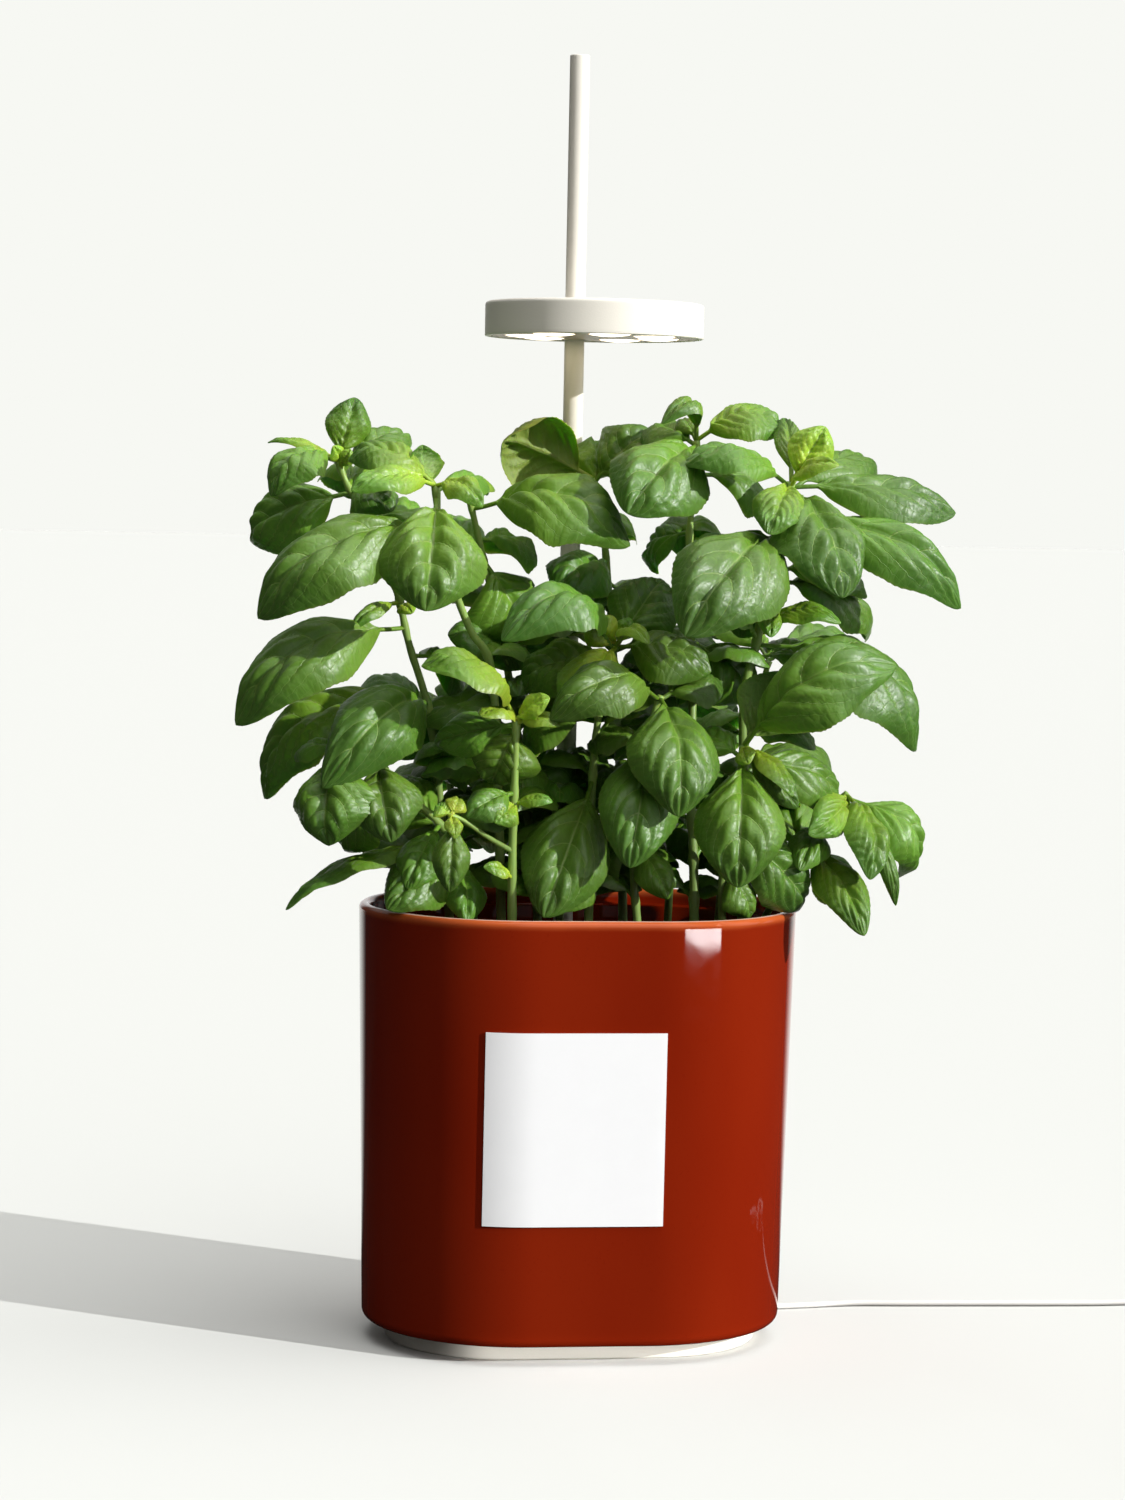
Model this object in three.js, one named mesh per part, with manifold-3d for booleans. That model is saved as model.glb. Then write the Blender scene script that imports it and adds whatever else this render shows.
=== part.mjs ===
// A basil plant in an oblong glazed pot, which stands on a round-ended base plate. A pole rises from the
// base through the pot and carries a disc-shaped grow lamp, and a thin cable leaves the base at its rear.
// Millimetres, +Z up, +X to the right, -Y to the front; the origin is under the middle of the base plate.
import * as THREE from "three";
import { mergeVertices } from "three/addons/utils/BufferGeometryUtils.js";
import Module from "manifold-3d";

const wasm = await Module();
wasm.setup();

const GAP = 0.3; // between pieces that touch
const FLOOR_GAP = 0.05; // between the loose pieces and the floor

// Base plate: a flat slab with round ends, with a spigot that holds the pole.
const BASE = { half: 32, radius: 53, top: 8.2, edge: 1, socketFloor: 3 };
const SPIGOT = { radius: 8, bottom: 2, top: 15.2 };

// Pot: round ends of radius `radius` about x = -half and x = half.
const POT = {
  half: 27,
  radius: 73,
  bottom: BASE.top + GAP,
  top: 198.5,
  taper: 4.3,
  wall: 5.5,
  floor: 7,
  footRound: 4,
  innerRound: 1.2,
  ledgeDepth: 7.5,
  ledgeWidth: 3,
};
const LABEL = { left: -49.6, right: 30.4, bottom: 63.3, top: 149.3, thickness: 0.6 };
const SOIL = { top: 180, crown: 182.5, clear: 0.5 };

// Lamp: the pole, and the disc that slides and turns on it.
const POLE = { y: 48, radius: 4.6, bottom: BASE.socketFloor + GAP, top: 587, edge: 0.6 };
const SEAL = { radius: 10.8, height: 3.2 };
const HEAD = {
  radius: 49.6,
  bottom: 455.5,
  height: 15.6,
  edge: 1.6,
  wall: 2.4,
  turn: 0.08, // radians that the disc is turned about the pole
  reach: 40.6, // from the pole's axis to the disc's axis
};
const BUSHING = { radius: 6, length: 14.4, lift: 0.6 };
const BOSS_RADIUS = 8.6;
const COVER = { radius: 46.9, thickness: 2, recess: 0.4 };
const LENS = { count: 7, radius: 9.4, ring: 31, spacing: 0.84, height: 3.2, dome: 1 };
const BOARD = { radius: 43, thickness: 1.6, chip: 5, chipHeight: 0.9 };
const HEAD_AXIS = {
  x: HEAD.reach * Math.sin(HEAD.turn),
  y: POLE.y - HEAD.reach * Math.cos(HEAD.turn),
};

// Cable: it leaves the base at its right rear, lies on the floor, and ends in a coil with its plug beside it.
const CABLE_RADIUS = 1.4;
const CABLE_STEPS = 28;
const CABLE_ROUTE = [
  [75.3, 43, 4.2],
  [82, 43, 4.2],
  [89, 43.1, 3.4],
  [97, 43.3, 2.1],
  [106, 43.4, 1.5],
  [118, 44.9, 1.45],
  [142, 48.2, 1.45],
  [166, 47, 1.45],
  [190, 45.8, 1.45],
  [215, 44.6, 1.45],
  [240, 43.4, 1.45],
  [264, 42.3, 1.45],
  [290, 42, 1.45],
  [309.8, 42, 1.45],
];
const GLAND = { start: [60, 43, 4.2], length: 15, rootLength: 6, rootRadius: 3, tipRadius: 1.9 };
const COIL = { x: 326, y: 26.6, middle: 15.4, width: 11.6, height: 11.6, round: 3 };
const PLUG = {
  start: [341.4, 10], // the cable's end, from which the plug points to the front
  tail: 9,
  tailRadius: 2.6,
  tipRadius: 1.8,
  body: [26, 15, 7.4],
  shell: [12.5, 12, 4.5],
};

// Basil stems. A stem is a list of shoots, the first of which stands in the soil. `path` is the shoot's
// centre line and `radii` its radius at the foot and at the tip. A leaf is written as
// [share of the shoot's length where it joins, reach from there to its tip, width, roll in degrees, arch].
const STEMS = {
  stem_front_centre: [
    {
      path: [[-36, -46, 152], [-36, -46, 186], [-37, -50, 228], [-37, -53, 254], [-37, -55, 285]],
      radii: [2.4, 1.5],
      leaves: [
        [1, [-44, -18, 24], 36, -18, 0.2],
        [1, [-18, -21, 3], 15, -13, 0.1],
        [1, [13, -12, 11], 13, 68, 0.12],
        [0.99, [18, -11, 0], 11, 35, 0.2],
        [0.98, [-9, 13, -26], 34, -133, 0.09],
        [0.99, [-34, 19, -10], 20, -80, 0.12],
        [0.72, [-10, -14, -7], 15, -40, 0.15],
        [0.72, [16, -8, 2], 9, 35, 0.15],
        [0.76, [-22, -11, -10], 19, -40, 0.14],
        [0.47, [-14, -9, 6], 10, -40, 0.14],
      ],
    },
    {
      path: [[-37, -50, 227], [-49, -58, 234], [-61, -64, 242], [-67, -66, 244]],
      radii: [1.2, 0.9],
      leaves: [
        [0.98, [-6, 4, 4], 12, -27, 0.12],
        [0.98, [4, 6, 7], 10, 38, 0.18],
        [0.95, [-2, -9, -32], 16, -10, 0.12],
        [0.98, [1, -10, -9], 8, 5, 0.2],
      ],
    },
  ],
  stem_left_front: [
    {
      path: [
        [-37, -16, 152], [-37, -16, 186], [-40, -20, 247], [-45, -28, 305], [-55, -32, 323],
        [-63, -36, 341], [-70, -40, 363], [-73, -42, 387],
      ],
      radii: [2.4, 1.5],
      leaves: [
        [0.98, [-8, -38, -49], 48, -10, 0.13],
        [0.88, [-83, -17, -31], 46, -35, 0.17],
        [1, [-39, -20, -5], 24, -30, 0.2],
        [1, [-18, 24, 17], 24, -20, 0.2],
        [1, [19, -16, -9], 17, 25, 0.25],
        [0.99, [25, 28, -1], 18, 20, 0.2],
      ],
    },
  ],
  stem_left_tall: [
    {
      path: [
        [-58, 5, 152], [-58, 5, 186], [-64, 2, 245], [-70, -2, 285], [-80, -6, 316], [-85, -8, 336],
        [-90, -9, 348], [-100, -8, 371], [-109, -6, 387], [-113, -5, 397],
      ],
      radii: [2.3, 1.3],
      leaves: [
        [1, [8, 9, 29], 20, -142, 0.12],
        [1, [-30, 12, 7], 9, -13, 0.39],
        [1, [-37, -22, -16], 31, -10, 0.13],
        [0.98, [37, 15, 13], 26, 25, 0.22],
        [1, [-3, -7, 7], 8, -124, 0.18],
        [0.99, [4, -7, 8], 8, 130, 0.15],
        [0.94, [-44, 30, -15], 36, -60, 0.16],
        [0.94, [16, -20, -8], 25, 20, 0.16],
        [0.95, [6, 58, -5], 30, 5, 0.2],
        [0.73, [-23, -14, -12], 9, -30, 0.15],
        [0.73, [7, 12, 5], 9, 30, 0.15],
        [0.72, [4, -12, -2], 9, 25, 0.15],
        [0.65, [-75, -28, -33], 46, -35, 0.26],
        [0.65, [26, 46, -9], 30, 35, 0.2],
        [0.54, [-51, -62, -33], 38, -37, 0.28],
        [0.54, [-68, 20, -42], 34, -43, 0.23],
        [0.53, [-28, 64, 14], 26, -10, 0.2],
        [0.51, [-29, 26, -6], 20, -15, 0.1],
      ],
    },
  ],
  stem_left_low: [
    {
      path: [
        [-48, -9, 152], [-48, -9, 186], [-56, -14, 219], [-67, -22, 237], [-87, -34, 254],
        [-96, -40, 266], [-113, -46, 271],
      ],
      radii: [2.2, 1.2],
      leaves: [
        [0.88, [4, -26, -34], 32, 20, 0.18],
        [1, [1, -16, -42], 30, 25, 0.16],
        [0.99, [-19, 22, -7], 17, -25, 0.2],
        [0.77, [-22, 18, -30], 26, -80, 0.2],
        [0.49, [-79, -19, -31], 24, 6, 0.16],
        [0.58, [-16, -22, -27], 22, -20, 0.12],
        [0.46, [-34, -29, -21], 28, -40, 0.14],
        [0.44, [0, -28, -24], 20, -10, 0.12],
        [0.54, [-25, 36, 17], 30, -44, 0.22],
      ],
    },
  ],
  stem_centre: [
    {
      path: [[2, -20, 152], [2, -20, 186], [2, -22, 248], [4, -23, 284], [9, -24, 311], [12, -24, 318]],
      radii: [2.3, 1.3],
      leaves: [
        [1, [-15, -6, 11], 17, -113, 0.16],
        [1, [5, -2, 12], 10, -75, 0.15],
        [0.99, [10, -29, 3], 12, 14, 0.24],
        [0.99, [-26, -34, -30], 28, -25, 0.14],
        [0.97, [-41, 5, -16], 34, -44, 0.17],
        [0.99, [25, 26, 30], 32, 36, 0.13],
        [0.99, [41, -14, -10], 36, 30, 0.15],
        [0.97, [-55, -39, 7], 40, -18, 0.34],
        [0.8, [-27, 35, -17], 34, -40, 0.2],
        [0.81, [40, 33, 4], 30, 25, 0.2],
        [0.62, [-26, -36, -57], 38, -30, 0.1],
        [0.36, [-21, -35, -11], 20, -40, 0.2],
      ],
    },
  ],
  stem_centre_back: [
    {
      path: [
        [-16, 16, 152], [-16, 16, 186], [-23, 14, 244], [-35, 8, 313], [-43, 2, 354],
        [-47, -4, 379], [-49, -5, 385],
      ],
      radii: [2.3, 1.4],
      leaves: [
        [0.96, [63, -21, -14], 43, 35, 0.24],
        [0.86, [19, 11, -34], 42, 88, 0.15],
        [0.86, [-23, 48, 9], 34, -15, 0.2],
        [0.98, [12, 34, 15], 18, 10, 0.2],
        [0.67, [-28, -14, 10], 30, -43, 0.17],
        [0.66, [30, 35, 5], 32, 25, 0.2],
        [0.5, [-38, 18, -13], 38, -45, 0.2],
        [0.5, [18, -16, -29], 36, 40, 0.2],
      ],
    },
  ],
  stem_top_centre: [
    {
      path: [[25, 26, 152], [25, 26, 186], [23, 28, 244], [18, 30, 318], [12, 30, 373], [7, 29, 392]],
      radii: [2.3, 1.4],
      leaves: [
        [1, [-41, -17, 8], 38, 60, 0.14],
        [0.99, [26, -1, 22], 34, 60, 0.2],
        [0.98, [1, 19, 22], 24, 17, 0.16],
        [0.83, [-27, -30, -12], 34, -25, 0.2],
        [0.83, [24, 20, -16], 36, 35, 0.22],
        [0.9, [7, 36, -5], 30, 20, 0.25],
        [0.61, [-18, 11, -20], 34, -15, 0.22],
        [0.61, [37, 11, -4], 34, 25, 0.22],
      ],
    },
  ],
  stem_right_tall: [
    {
      path: [
        [48, -34, 152], [48, -34, 186], [47, -34, 222], [46, -30, 249], [48, -16, 293],
        [48, -4, 338], [48, 0, 372], [51, 0, 397], [50, 0, 410],
      ],
      radii: [2.4, 1.3],
      leaves: [
        [1, [-19, -18, 7], 15, -20, 0.5],
        [1, [40, -4, 4], 32, 25, 0.24],
        [1, [-6, 13, 9], 11, -10, 0.18],
        [0.99, [-39, -50, -31], 45, -30, 0.14],
        [0.99, [-21, 22, 3], 28, -15, 0.2],
        [0.94, [21, 21, -9], 24, 39, 0.22],
        [0.94, [-6, 36, -3], 20, -6, 0.21],
        [0.86, [-20, 34, -9], 32, -55, 0.16],
        [0.83, [9, 51, -11], 30, 0, 0.25],
        [0.7, [-17, 40, -5], 30, -15, 0.22],
        [0.65, [28, 7, -27], 36, 65, 0.2],
        [0.44, [-20, 20, -20], 34, -65, 0.2],
        [0.34, [23, 35, -23], 26, 55, 0.2],
      ],
    },
  ],
  stem_right_front_tall: [
    {
      path: [
        [72, -24, 152], [72, -24, 186], [71, -25, 248], [70, -25, 294], [75, -25, 319],
        [78, -26, 337], [83, -29, 366], [88, -32, 392],
      ],
      radii: [2.6, 1.5],
      leaves: [
        [0.99, [-50, -7, 9], 34, -11, 0.18],
        [1, [15, 0, 25], 24, 82, 0.08],
        [0.99, [18, -19, 10], 14, 39, 0.19],
        [1, [2, 30, 29], 13, 5, 0.12],
        [0.99, [-16, -35, -21], 24, -17, 0.14],
        [0.99, [16, -42, -48], 46, -2, 0.14],
        [0.99, [78, 7, -11], 38, 30, 0.17],
        [0.98, [49, 43, 10], 24, 20, 0.16],
        [0.91, [79, -14, -38], 35, 45, 0.16],
        [0.9, [-52, -59, -44], 50, -30, 0.18],
        [0.83, [51, 12, -11], 25, 30, 0.18],
        [0.81, [54, 41, -27], 32, 45, 0.2],
        [0.78, [-1, -20, -17], 12, -5, 0.1],
        [0.72, [33, -21, 4], 15, 30, 0.2],
        [0.7, [-26, -15, 5], 16, -20, 0.3],
        [0.69, [74, -1, -47], 46, 35, 0.34],
        [0.66, [42, 49, -15], 34, 25, 0.2],
      ],
    },
  ],
  stem_right_front: [
    {
      path: [[59, -45, 152], [59, -45, 186], [58, -47, 214], [62, -50, 242], [64, -52, 264], [65, -53, 275]],
      radii: [2.2, 1.4],
      leaves: [
        [0.98, [-6, -27, -58], 39, -4, 0.12],
        [0.99, [0, -14, -6], 10, 34, 0.11],
        [1, [19, -18, -21], 15, 6, 0.11],
        [0.99, [24, -6, -26], 15, 64, 0.09],
        [0.99, [63, -23, 39], 42, 56, 0.28],
        [1, [19, -5, 33], 30, 85, 0.13],
        [0.95, [49, 24, -20], 28, 60, 0.18],
        [0.69, [36, 19, -37], 30, 85, 0.18],
        [0.95, [-19, 22, 6], 26, -20, 0.2],
        [0.54, [12, 0, -21], 20, 60, 0.15],
      ],
    },
  ],
  stem_right_low: [
    {
      path: [[83, -9, 152], [83, -9, 186], [92, -10, 206], [102, -14, 225], [114, -22, 246], [119, -24, 252]],
      radii: [2, 1.2],
      leaves: [
        [0.95, [30, 11, -38], 32, 55, 0.24],
        [0.99, [4, -35, -35], 26, -27, 0.17],
        [0.98, [-24, -38, -14], 19, -65, 0.14],
        [0.79, [-15, -35, -14], 19, -20, 0.18],
        [0.71, [18, -44, -35], 23, 15, 0.16],
        [0.7, [22, 0, -26], 26, 60, 0.2],
        [0.97, [22, -17, -47], 10, 35, 0.2],
        [0.66, [-4, 37, 23], 28, -5, 0.2],
      ],
    },
  ],
  stem_centre_right: [
    {
      path: [[23, -32, 152], [23, -32, 186], [20, -33, 220], [23, -35, 258], [27, -37, 287], [30, -38, 296]],
      radii: [2.1, 1.3],
      leaves: [
        [0.98, [-53, -30, -7], 32, -35, 0.3],
        [0.99, [2, -44, -49], 42, -5, 0.2],
        [0.88, [-14, -36, -57], 35, -15, 0.14],
        [0.98, [31, 18, 5], 26, 25, 0.2],
        [0.53, [-12, 23, -18], 24, -65, 0.2],
        [0.53, [13, -13, -23], 18, 35, 0.15],
      ],
    },
  ],
  stem_back_left: [
    {
      path: [[-47, 35, 152], [-47, 35, 186], [-53, 40, 233], [-59, 44, 279]],
      radii: [2.1, 1.3],
      leaves: [
        [0.99, [-23, -34, -15], 32, -15, 0.2],
        [0.99, [20, 28, 13], 30, 26, 0.23],
        [0.99, [-13, 35, 3], 28, -21, 0.18],
        [0.78, [-19, 38, -13], 34, 5, 0.22],
        [0.78, [33, -2, -9], 30, 10, 0.2],
        [0.6, [-30, 4, -10], 34, -10, 0.2],
        [0.57, [17, 49, -10], 30, -17, 0.24],
      ],
    },
  ],
  stem_back_centre: [
    {
      path: [[-5, 23, 152], [-5, 23, 186], [-8, 20, 235], [-13, 20, 290]],
      radii: [2.1, 1.3],
      leaves: [
        [0.99, [-16, 20, -9], 28, 5, 0.2],
        [0.77, [27, 18, -3], 32, -5, 0.22],
        [0.77, [-23, 54, -18], 34, 5, 0.22],
        [0.53, [-21, 65, -12], 34, -15, 0.22],
        [0.51, [23, -11, -10], 28, 30, 0.2],
      ],
    },
  ],
  stem_back_right: [
    {
      path: [[49, 43, 152], [49, 43, 186], [51, 46, 233], [48, 50, 289], [45, 52, 317]],
      radii: [2.1, 1.3],
      leaves: [
        [1, [-16, 39, 2], 30, -18, 0.21],
        [1, [25, 26, -6], 30, 0, 0.17],
        [0.8, [-21, 36, -20], 34, 3, 0.18],
        [0.8, [36, 34, -11], 34, -10, 0.22],
        [0.6, [-6, 53, -13], 36, 5, 0.22],
        [0.6, [19, -27, -11], 32, 10, 0.2],
        [0.43, [24, 59, -15], 34, -10, 0.22],
      ],
    },
  ],
  stem_back_far_right: [
    {
      path: [[69, 21, 152], [69, 21, 186], [74, 24, 235], [84, 28, 281], [92, 30, 309]],
      radii: [2.1, 1.3],
      leaves: [
        [1, [45, 24, 4], 32, 9, 0.2],
        [1, [-17, 53, 8], 30, 7, 0.17],
        [0.83, [35, 62, -15], 36, -10, 0.22],
        [0.83, [-25, 22, -17], 32, -5, 0.2],
        [0.67, [50, 34, -12], 36, -5, 0.24],
        [0.49, [29, 74, -16], 34, -10, 0.22],
      ],
    },
  ],
};

const LEAF = {
  petiole: 0.17, // share of the reach that is leaf stalk
  stalk: 1.1, // half width of the stalk
  stalkThickness: 2,
  thickness: 0.8,
  lean: 0.6, // how far the blade's normal leans outwards
  fold: 0.3, // how far the edges hang below the midrib, as a share of the half width
  wave: 0.07, // how far the edges rise and fall, as a share of the half width
};
// Shares of the blade's length where it is split, by the least reach that they suit.
const BLADE_ROWS = [
  [64, [0.1, 0.35, 0.65, 0.88]],
  [38, [0.14, 0.48, 0.82]],
  [0, [0.2, 0.62]],
];
const LEAST_FOLDED = 27; // reach below which a blade has no fold along its midrib
const STEM_SIDES = 5;
const ROUND_SIDES = { pot: 32, head: 32, pole: 16, lens: 12, cable: 8, gland: 10, coil: 20, hole: 6 };

const COLOURS = {
  cream: { color: 0xe9e4d8, roughness: 0.6, metalness: 0 },
  glaze: { color: 0x8c2410, roughness: 0.12, metalness: 0 },
  paper: { color: 0xf7f7f7, roughness: 0.8, metalness: 0 },
  soil: { color: 0x2b1d14, roughness: 1, metalness: 0 },
  basil: { color: 0x4a7a2a, roughness: 0.45, metalness: 0 },
  rubber: { color: 0xd8d3c8, roughness: 0.8, metalness: 0 },
  lens: { color: 0xfff6e0, roughness: 0.2, metalness: 0 },
  board: { color: 0xf0f0ec, roughness: 0.5, metalness: 0 },
  bushing: { color: 0x3a3a3a, roughness: 0.6, metalness: 0 },
  cable: { color: 0xe6e4dd, roughness: 0.6, metalness: 0 },
  steel: { color: 0xb9bcc0, roughness: 0.3, metalness: 1 },
};

const POLE_AXIS = { x: 0, y: POLE.y };
const BELOW = -10; // a height under every piece
const ABOVE = POLE.top + 10;
const CUT_OVER = 0.03; // how far a cut goes past the face that it opens
const WELD = 1e-4;
const ON_AXIS = 1e-3;

const part = new THREE.Group();

/** A solid from a closed geometry. */
function solid(geometry) {
  const bare = geometry.index ? geometry.toNonIndexed() : geometry.clone();
  bare.deleteAttribute("normal");
  bare.deleteAttribute("uv");
  const merged = mergeVertices(bare, WELD);
  return new wasm.Manifold(
    new wasm.Mesh({
      numProp: 3,
      vertProperties: new Float32Array(merged.attributes.position.array),
      triVerts: new Uint32Array(merged.index.array),
    }),
  );
}

/** Adds a solid's largest body to the part: loose scraps and sealed hollows are left out. */
function addPiece(name, made, colour) {
  const [body] = made.decompose().sort((a, b) => b.volume() - a.volume());
  const mesh = body.getMesh();
  const geometry = new THREE.BufferGeometry();
  geometry.setAttribute("position", new THREE.BufferAttribute(mesh.vertProperties, mesh.numProp));
  geometry.setIndex(new THREE.BufferAttribute(mesh.triVerts, 1));
  geometry.computeVertexNormals();
  const piece = new THREE.Mesh(geometry, new THREE.MeshStandardMaterial(COLOURS[colour]));
  piece.name = name;
  part.add(piece);
}

/** A body of revolution about the Z axis, from [radius, z] points that go up the outside. */
function turned(profile, sides) {
  const points = profile.map(([radius, z]) => new THREE.Vector2(radius, z));
  return new THREE.LatheGeometry(points, sides, Math.PI / sides).rotateX(Math.PI / 2);
}

/** A turned body pulled apart by `half` each way along X, so that its plan has two straight sides. */
function oblong(profile, half) {
  const geometry = turned(profile, ROUND_SIDES.pot);
  const position = geometry.attributes.position;
  for (let i = 0; i < position.count; i++) {
    const x = position.getX(i);
    if (Math.abs(x) > ON_AXIS) position.setX(i, x + Math.sign(x) * half);
  }
  return solid(geometry);
}

/** Points of a quarter round about (radius, z), from angle `start` in degrees on. */
function quarter(radius, z, size, start, steps) {
  return Array.from({ length: steps + 1 }, (_, i) => {
    const angle = THREE.MathUtils.degToRad(start + (90 * i) / steps);
    return [radius + size * Math.cos(angle), z + size * Math.sin(angle)];
  });
}

function rod(radius, bottom, top, { x, y }, sides) {
  const profile = [[0, bottom], [radius, bottom], [radius, top], [0, top]];
  return solid(turned(profile, sides).translate(x, y, 0));
}

function block([sizeX, sizeY, sizeZ], [x, y, z]) {
  return solid(new THREE.BoxGeometry(sizeX, sizeY, sizeZ).translate(x, y, z));
}

function poleHole() {
  return rod(POLE.radius + GAP, BELOW, ABOVE, POLE_AXIS, ROUND_SIDES.pole);
}

/** Radius of the pot's outside at a height, about the centres of its ends. */
function potRadius(z) {
  return POT.radius - (POT.taper * (POT.top - z)) / (POT.top - POT.bottom);
}

function makeBase() {
  const { half, radius, top, edge, socketFloor } = BASE;
  const slab = oblong(
    [[0, 0], [radius - edge, 0], [radius, edge], [radius, top - edge], [radius - edge, top], [0, top]],
    half,
  );
  const base = slab
    .add(rod(SPIGOT.radius, SPIGOT.bottom, SPIGOT.top, POLE_AXIS, ROUND_SIDES.pole))
    .subtract(rod(POLE.radius + GAP, socketFloor, ABOVE, POLE_AXIS, ROUND_SIDES.pole))
    .subtract(glandShape(GAP));
  addPiece("base_plate", base, "cream");
  addPiece("cable_gland", glandShape(0), "rubber");
}

/** The tapered sleeve that the cable leaves by, lying along +X, `grow` larger all over. */
function glandShape(grow) {
  const { start, length, rootLength, rootRadius, tipRadius } = GLAND;
  const profile = [
    [0, -grow],
    [rootRadius + grow, -grow],
    [rootRadius + grow, rootLength],
    [tipRadius + grow, length + grow],
    [0, length + grow],
  ];
  return solid(turned(profile, ROUND_SIDES.gland).rotateY(Math.PI / 2).translate(...start));
}

function makePot() {
  const { half, radius, bottom, top, wall, floor, footRound, innerRound, ledgeDepth, ledgeWidth } = POT;
  const lip = wall / 2;
  const footRadius = potRadius(bottom + footRound) - footRound;
  const outside = [
    [0, bottom],
    ...quarter(footRadius, bottom + footRound, footRound, -90, 2),
    ...quarter(radius - lip, top - lip, lip, 0, 2),
    [0, top],
  ];
  const ledge = top - ledgeDepth;
  const floorTop = bottom + floor;
  const innerFoot = potRadius(floorTop) - wall - ledgeWidth;
  const ledgeRadius = potRadius(ledge) - wall - ledgeWidth;
  const inside = [
    [0, floorTop],
    [innerFoot - innerRound, floorTop],
    [innerFoot, floorTop + innerRound],
    [ledgeRadius, ledge],
    [ledgeRadius + ledgeWidth, ledge],
    [radius - wall, top - lip],
    [radius - lip, top + CUT_OVER],
    [0, top + CUT_OVER],
  ];
  const pot = oblong(outside, half)
    .subtract(oblong(inside, half))
    .subtract(rod(SPIGOT.radius + GAP, BELOW, floorTop + wall, POLE_AXIS, ROUND_SIDES.pole));
  addPiece("pot", pot, "glaze");
}

/** A thin sheet that lies on the front of the pot. */
function makeLabel() {
  const { left, right, bottom, top, thickness } = LABEL;
  const layer = (offset) =>
    oblong(
      [[0, 0], [potRadius(0) + offset, 0], [potRadius(POT.top) + offset, POT.top], [0, POT.top]],
      POT.half,
    );
  const middle = [(left + right) / 2, -POT.radius, (top + bottom) / 2];
  const window = block([right - left, POT.radius, top - bottom], middle);
  addPiece("label", layer(GAP + thickness).subtract(layer(GAP)).intersect(window), "paper");
}

function makeSoil() {
  const bottom = POT.bottom + POT.floor + GAP;
  const sides = (z) => potRadius(z) - POT.wall - POT.ledgeWidth - GAP;
  const mound = [
    [0, bottom],
    [sides(bottom) - POT.innerRound, bottom],
    [sides(bottom), bottom + POT.innerRound],
    [sides(SOIL.top), SOIL.top],
    [0, SOIL.crown],
  ];
  const sealTop = bottom + SEAL.height;
  let soil = oblong(mound, POT.half)
    .subtract(poleHole())
    .subtract(rod(SEAL.radius + GAP, BELOW, sealTop + GAP, POLE_AXIS, ROUND_SIDES.pole));
  for (const [stem] of Object.values(STEMS)) {
    const [x, y, foot] = stem.path[0];
    soil = soil.subtract(rod(stem.radii[0] + SOIL.clear, foot - GAP, ABOVE, { x, y }, ROUND_SIDES.hole));
  }
  addPiece("soil", soil, "soil");
  const seal = rod(SEAL.radius, bottom, sealTop, POLE_AXIS, ROUND_SIDES.pole);
  addPiece("pole_seal", seal.subtract(poleHole()), "rubber");
}

function makePole() {
  const { radius, top, bottom, edge, y } = POLE;
  const profile = [[0, bottom], [radius, bottom], [radius, top - edge], [radius - edge, top], [0, top]];
  addPiece("pole", solid(turned(profile, ROUND_SIDES.pole).translate(0, y, 0)), "cream");
}

/** Axes of the lenses, on an arc that keeps clear of the pole. */
function lensAxes() {
  return Array.from({ length: LENS.count }, (_, i) => {
    const angle = HEAD.turn - Math.PI / 2 + (i - (LENS.count - 1) / 2) * LENS.spacing;
    return {
      x: HEAD_AXIS.x + LENS.ring * Math.cos(angle),
      y: HEAD_AXIS.y + LENS.ring * Math.sin(angle),
    };
  });
}

function makeHeadShell() {
  const { radius, bottom, height, edge, wall } = HEAD;
  const top = bottom + height;
  const rim = quarter(radius - edge, top - edge, edge, 0, 2);
  const disc = turned([[0, bottom], [radius, bottom], ...rim, [0, top]], ROUND_SIDES.head);
  const boss = rod(BOSS_RADIUS, bottom + COVER.recess, top - edge / 2, POLE_AXIS, ROUND_SIDES.pole);
  const bore = rod(BUSHING.radius + GAP, BELOW, ABOVE, POLE_AXIS, ROUND_SIDES.pole);
  const shell = solid(disc.translate(HEAD_AXIS.x, HEAD_AXIS.y, 0))
    .subtract(rod(radius - wall, BELOW, top - wall, HEAD_AXIS, ROUND_SIDES.head))
    .add(boss)
    .subtract(bore);
  addPiece("head_shell", shell, "cream");
}

/** The plate with a round window for each lens, the board with a light chip over each, and the lenses. */
function makeHeadInside() {
  const { bottom, height, wall } = HEAD;
  const coverBottom = bottom + COVER.recess;
  const boardBottom = bottom + height - wall - GAP - BOARD.thickness;
  const chipTop = boardBottom + BOARD.thickness / 2;
  const chipSize = [BOARD.chip, BOARD.chip, chipTop - boardBottom + BOARD.chipHeight];
  const bossHole = rod(BOSS_RADIUS + GAP, BELOW, ABOVE, POLE_AXIS, ROUND_SIDES.pole);
  let cover = rod(COVER.radius, coverBottom, coverBottom + COVER.thickness, HEAD_AXIS, ROUND_SIDES.head);
  let board = rod(BOARD.radius, boardBottom, boardBottom + BOARD.thickness, HEAD_AXIS, ROUND_SIDES.coil);
  lensAxes().forEach((axis, i) => {
    cover = cover.subtract(rod(LENS.radius + GAP, BELOW, ABOVE, axis, ROUND_SIDES.lens));
    board = board.add(block(chipSize, [axis.x, axis.y, chipTop - chipSize[2] / 2]));
    const lensTop = coverBottom + LENS.height;
    const dome = [
      [0, coverBottom - LENS.dome],
      [LENS.radius, coverBottom],
      [LENS.radius, lensTop],
      [0, lensTop],
    ];
    addPiece(`lens_${i + 1}`, solid(turned(dome, ROUND_SIDES.lens).translate(axis.x, axis.y, 0)), "lens");
  });
  addPiece("head_cover", cover.subtract(bossHole), "cream");
  addPiece("led_board", board.subtract(bossHole), "board");
}

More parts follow.
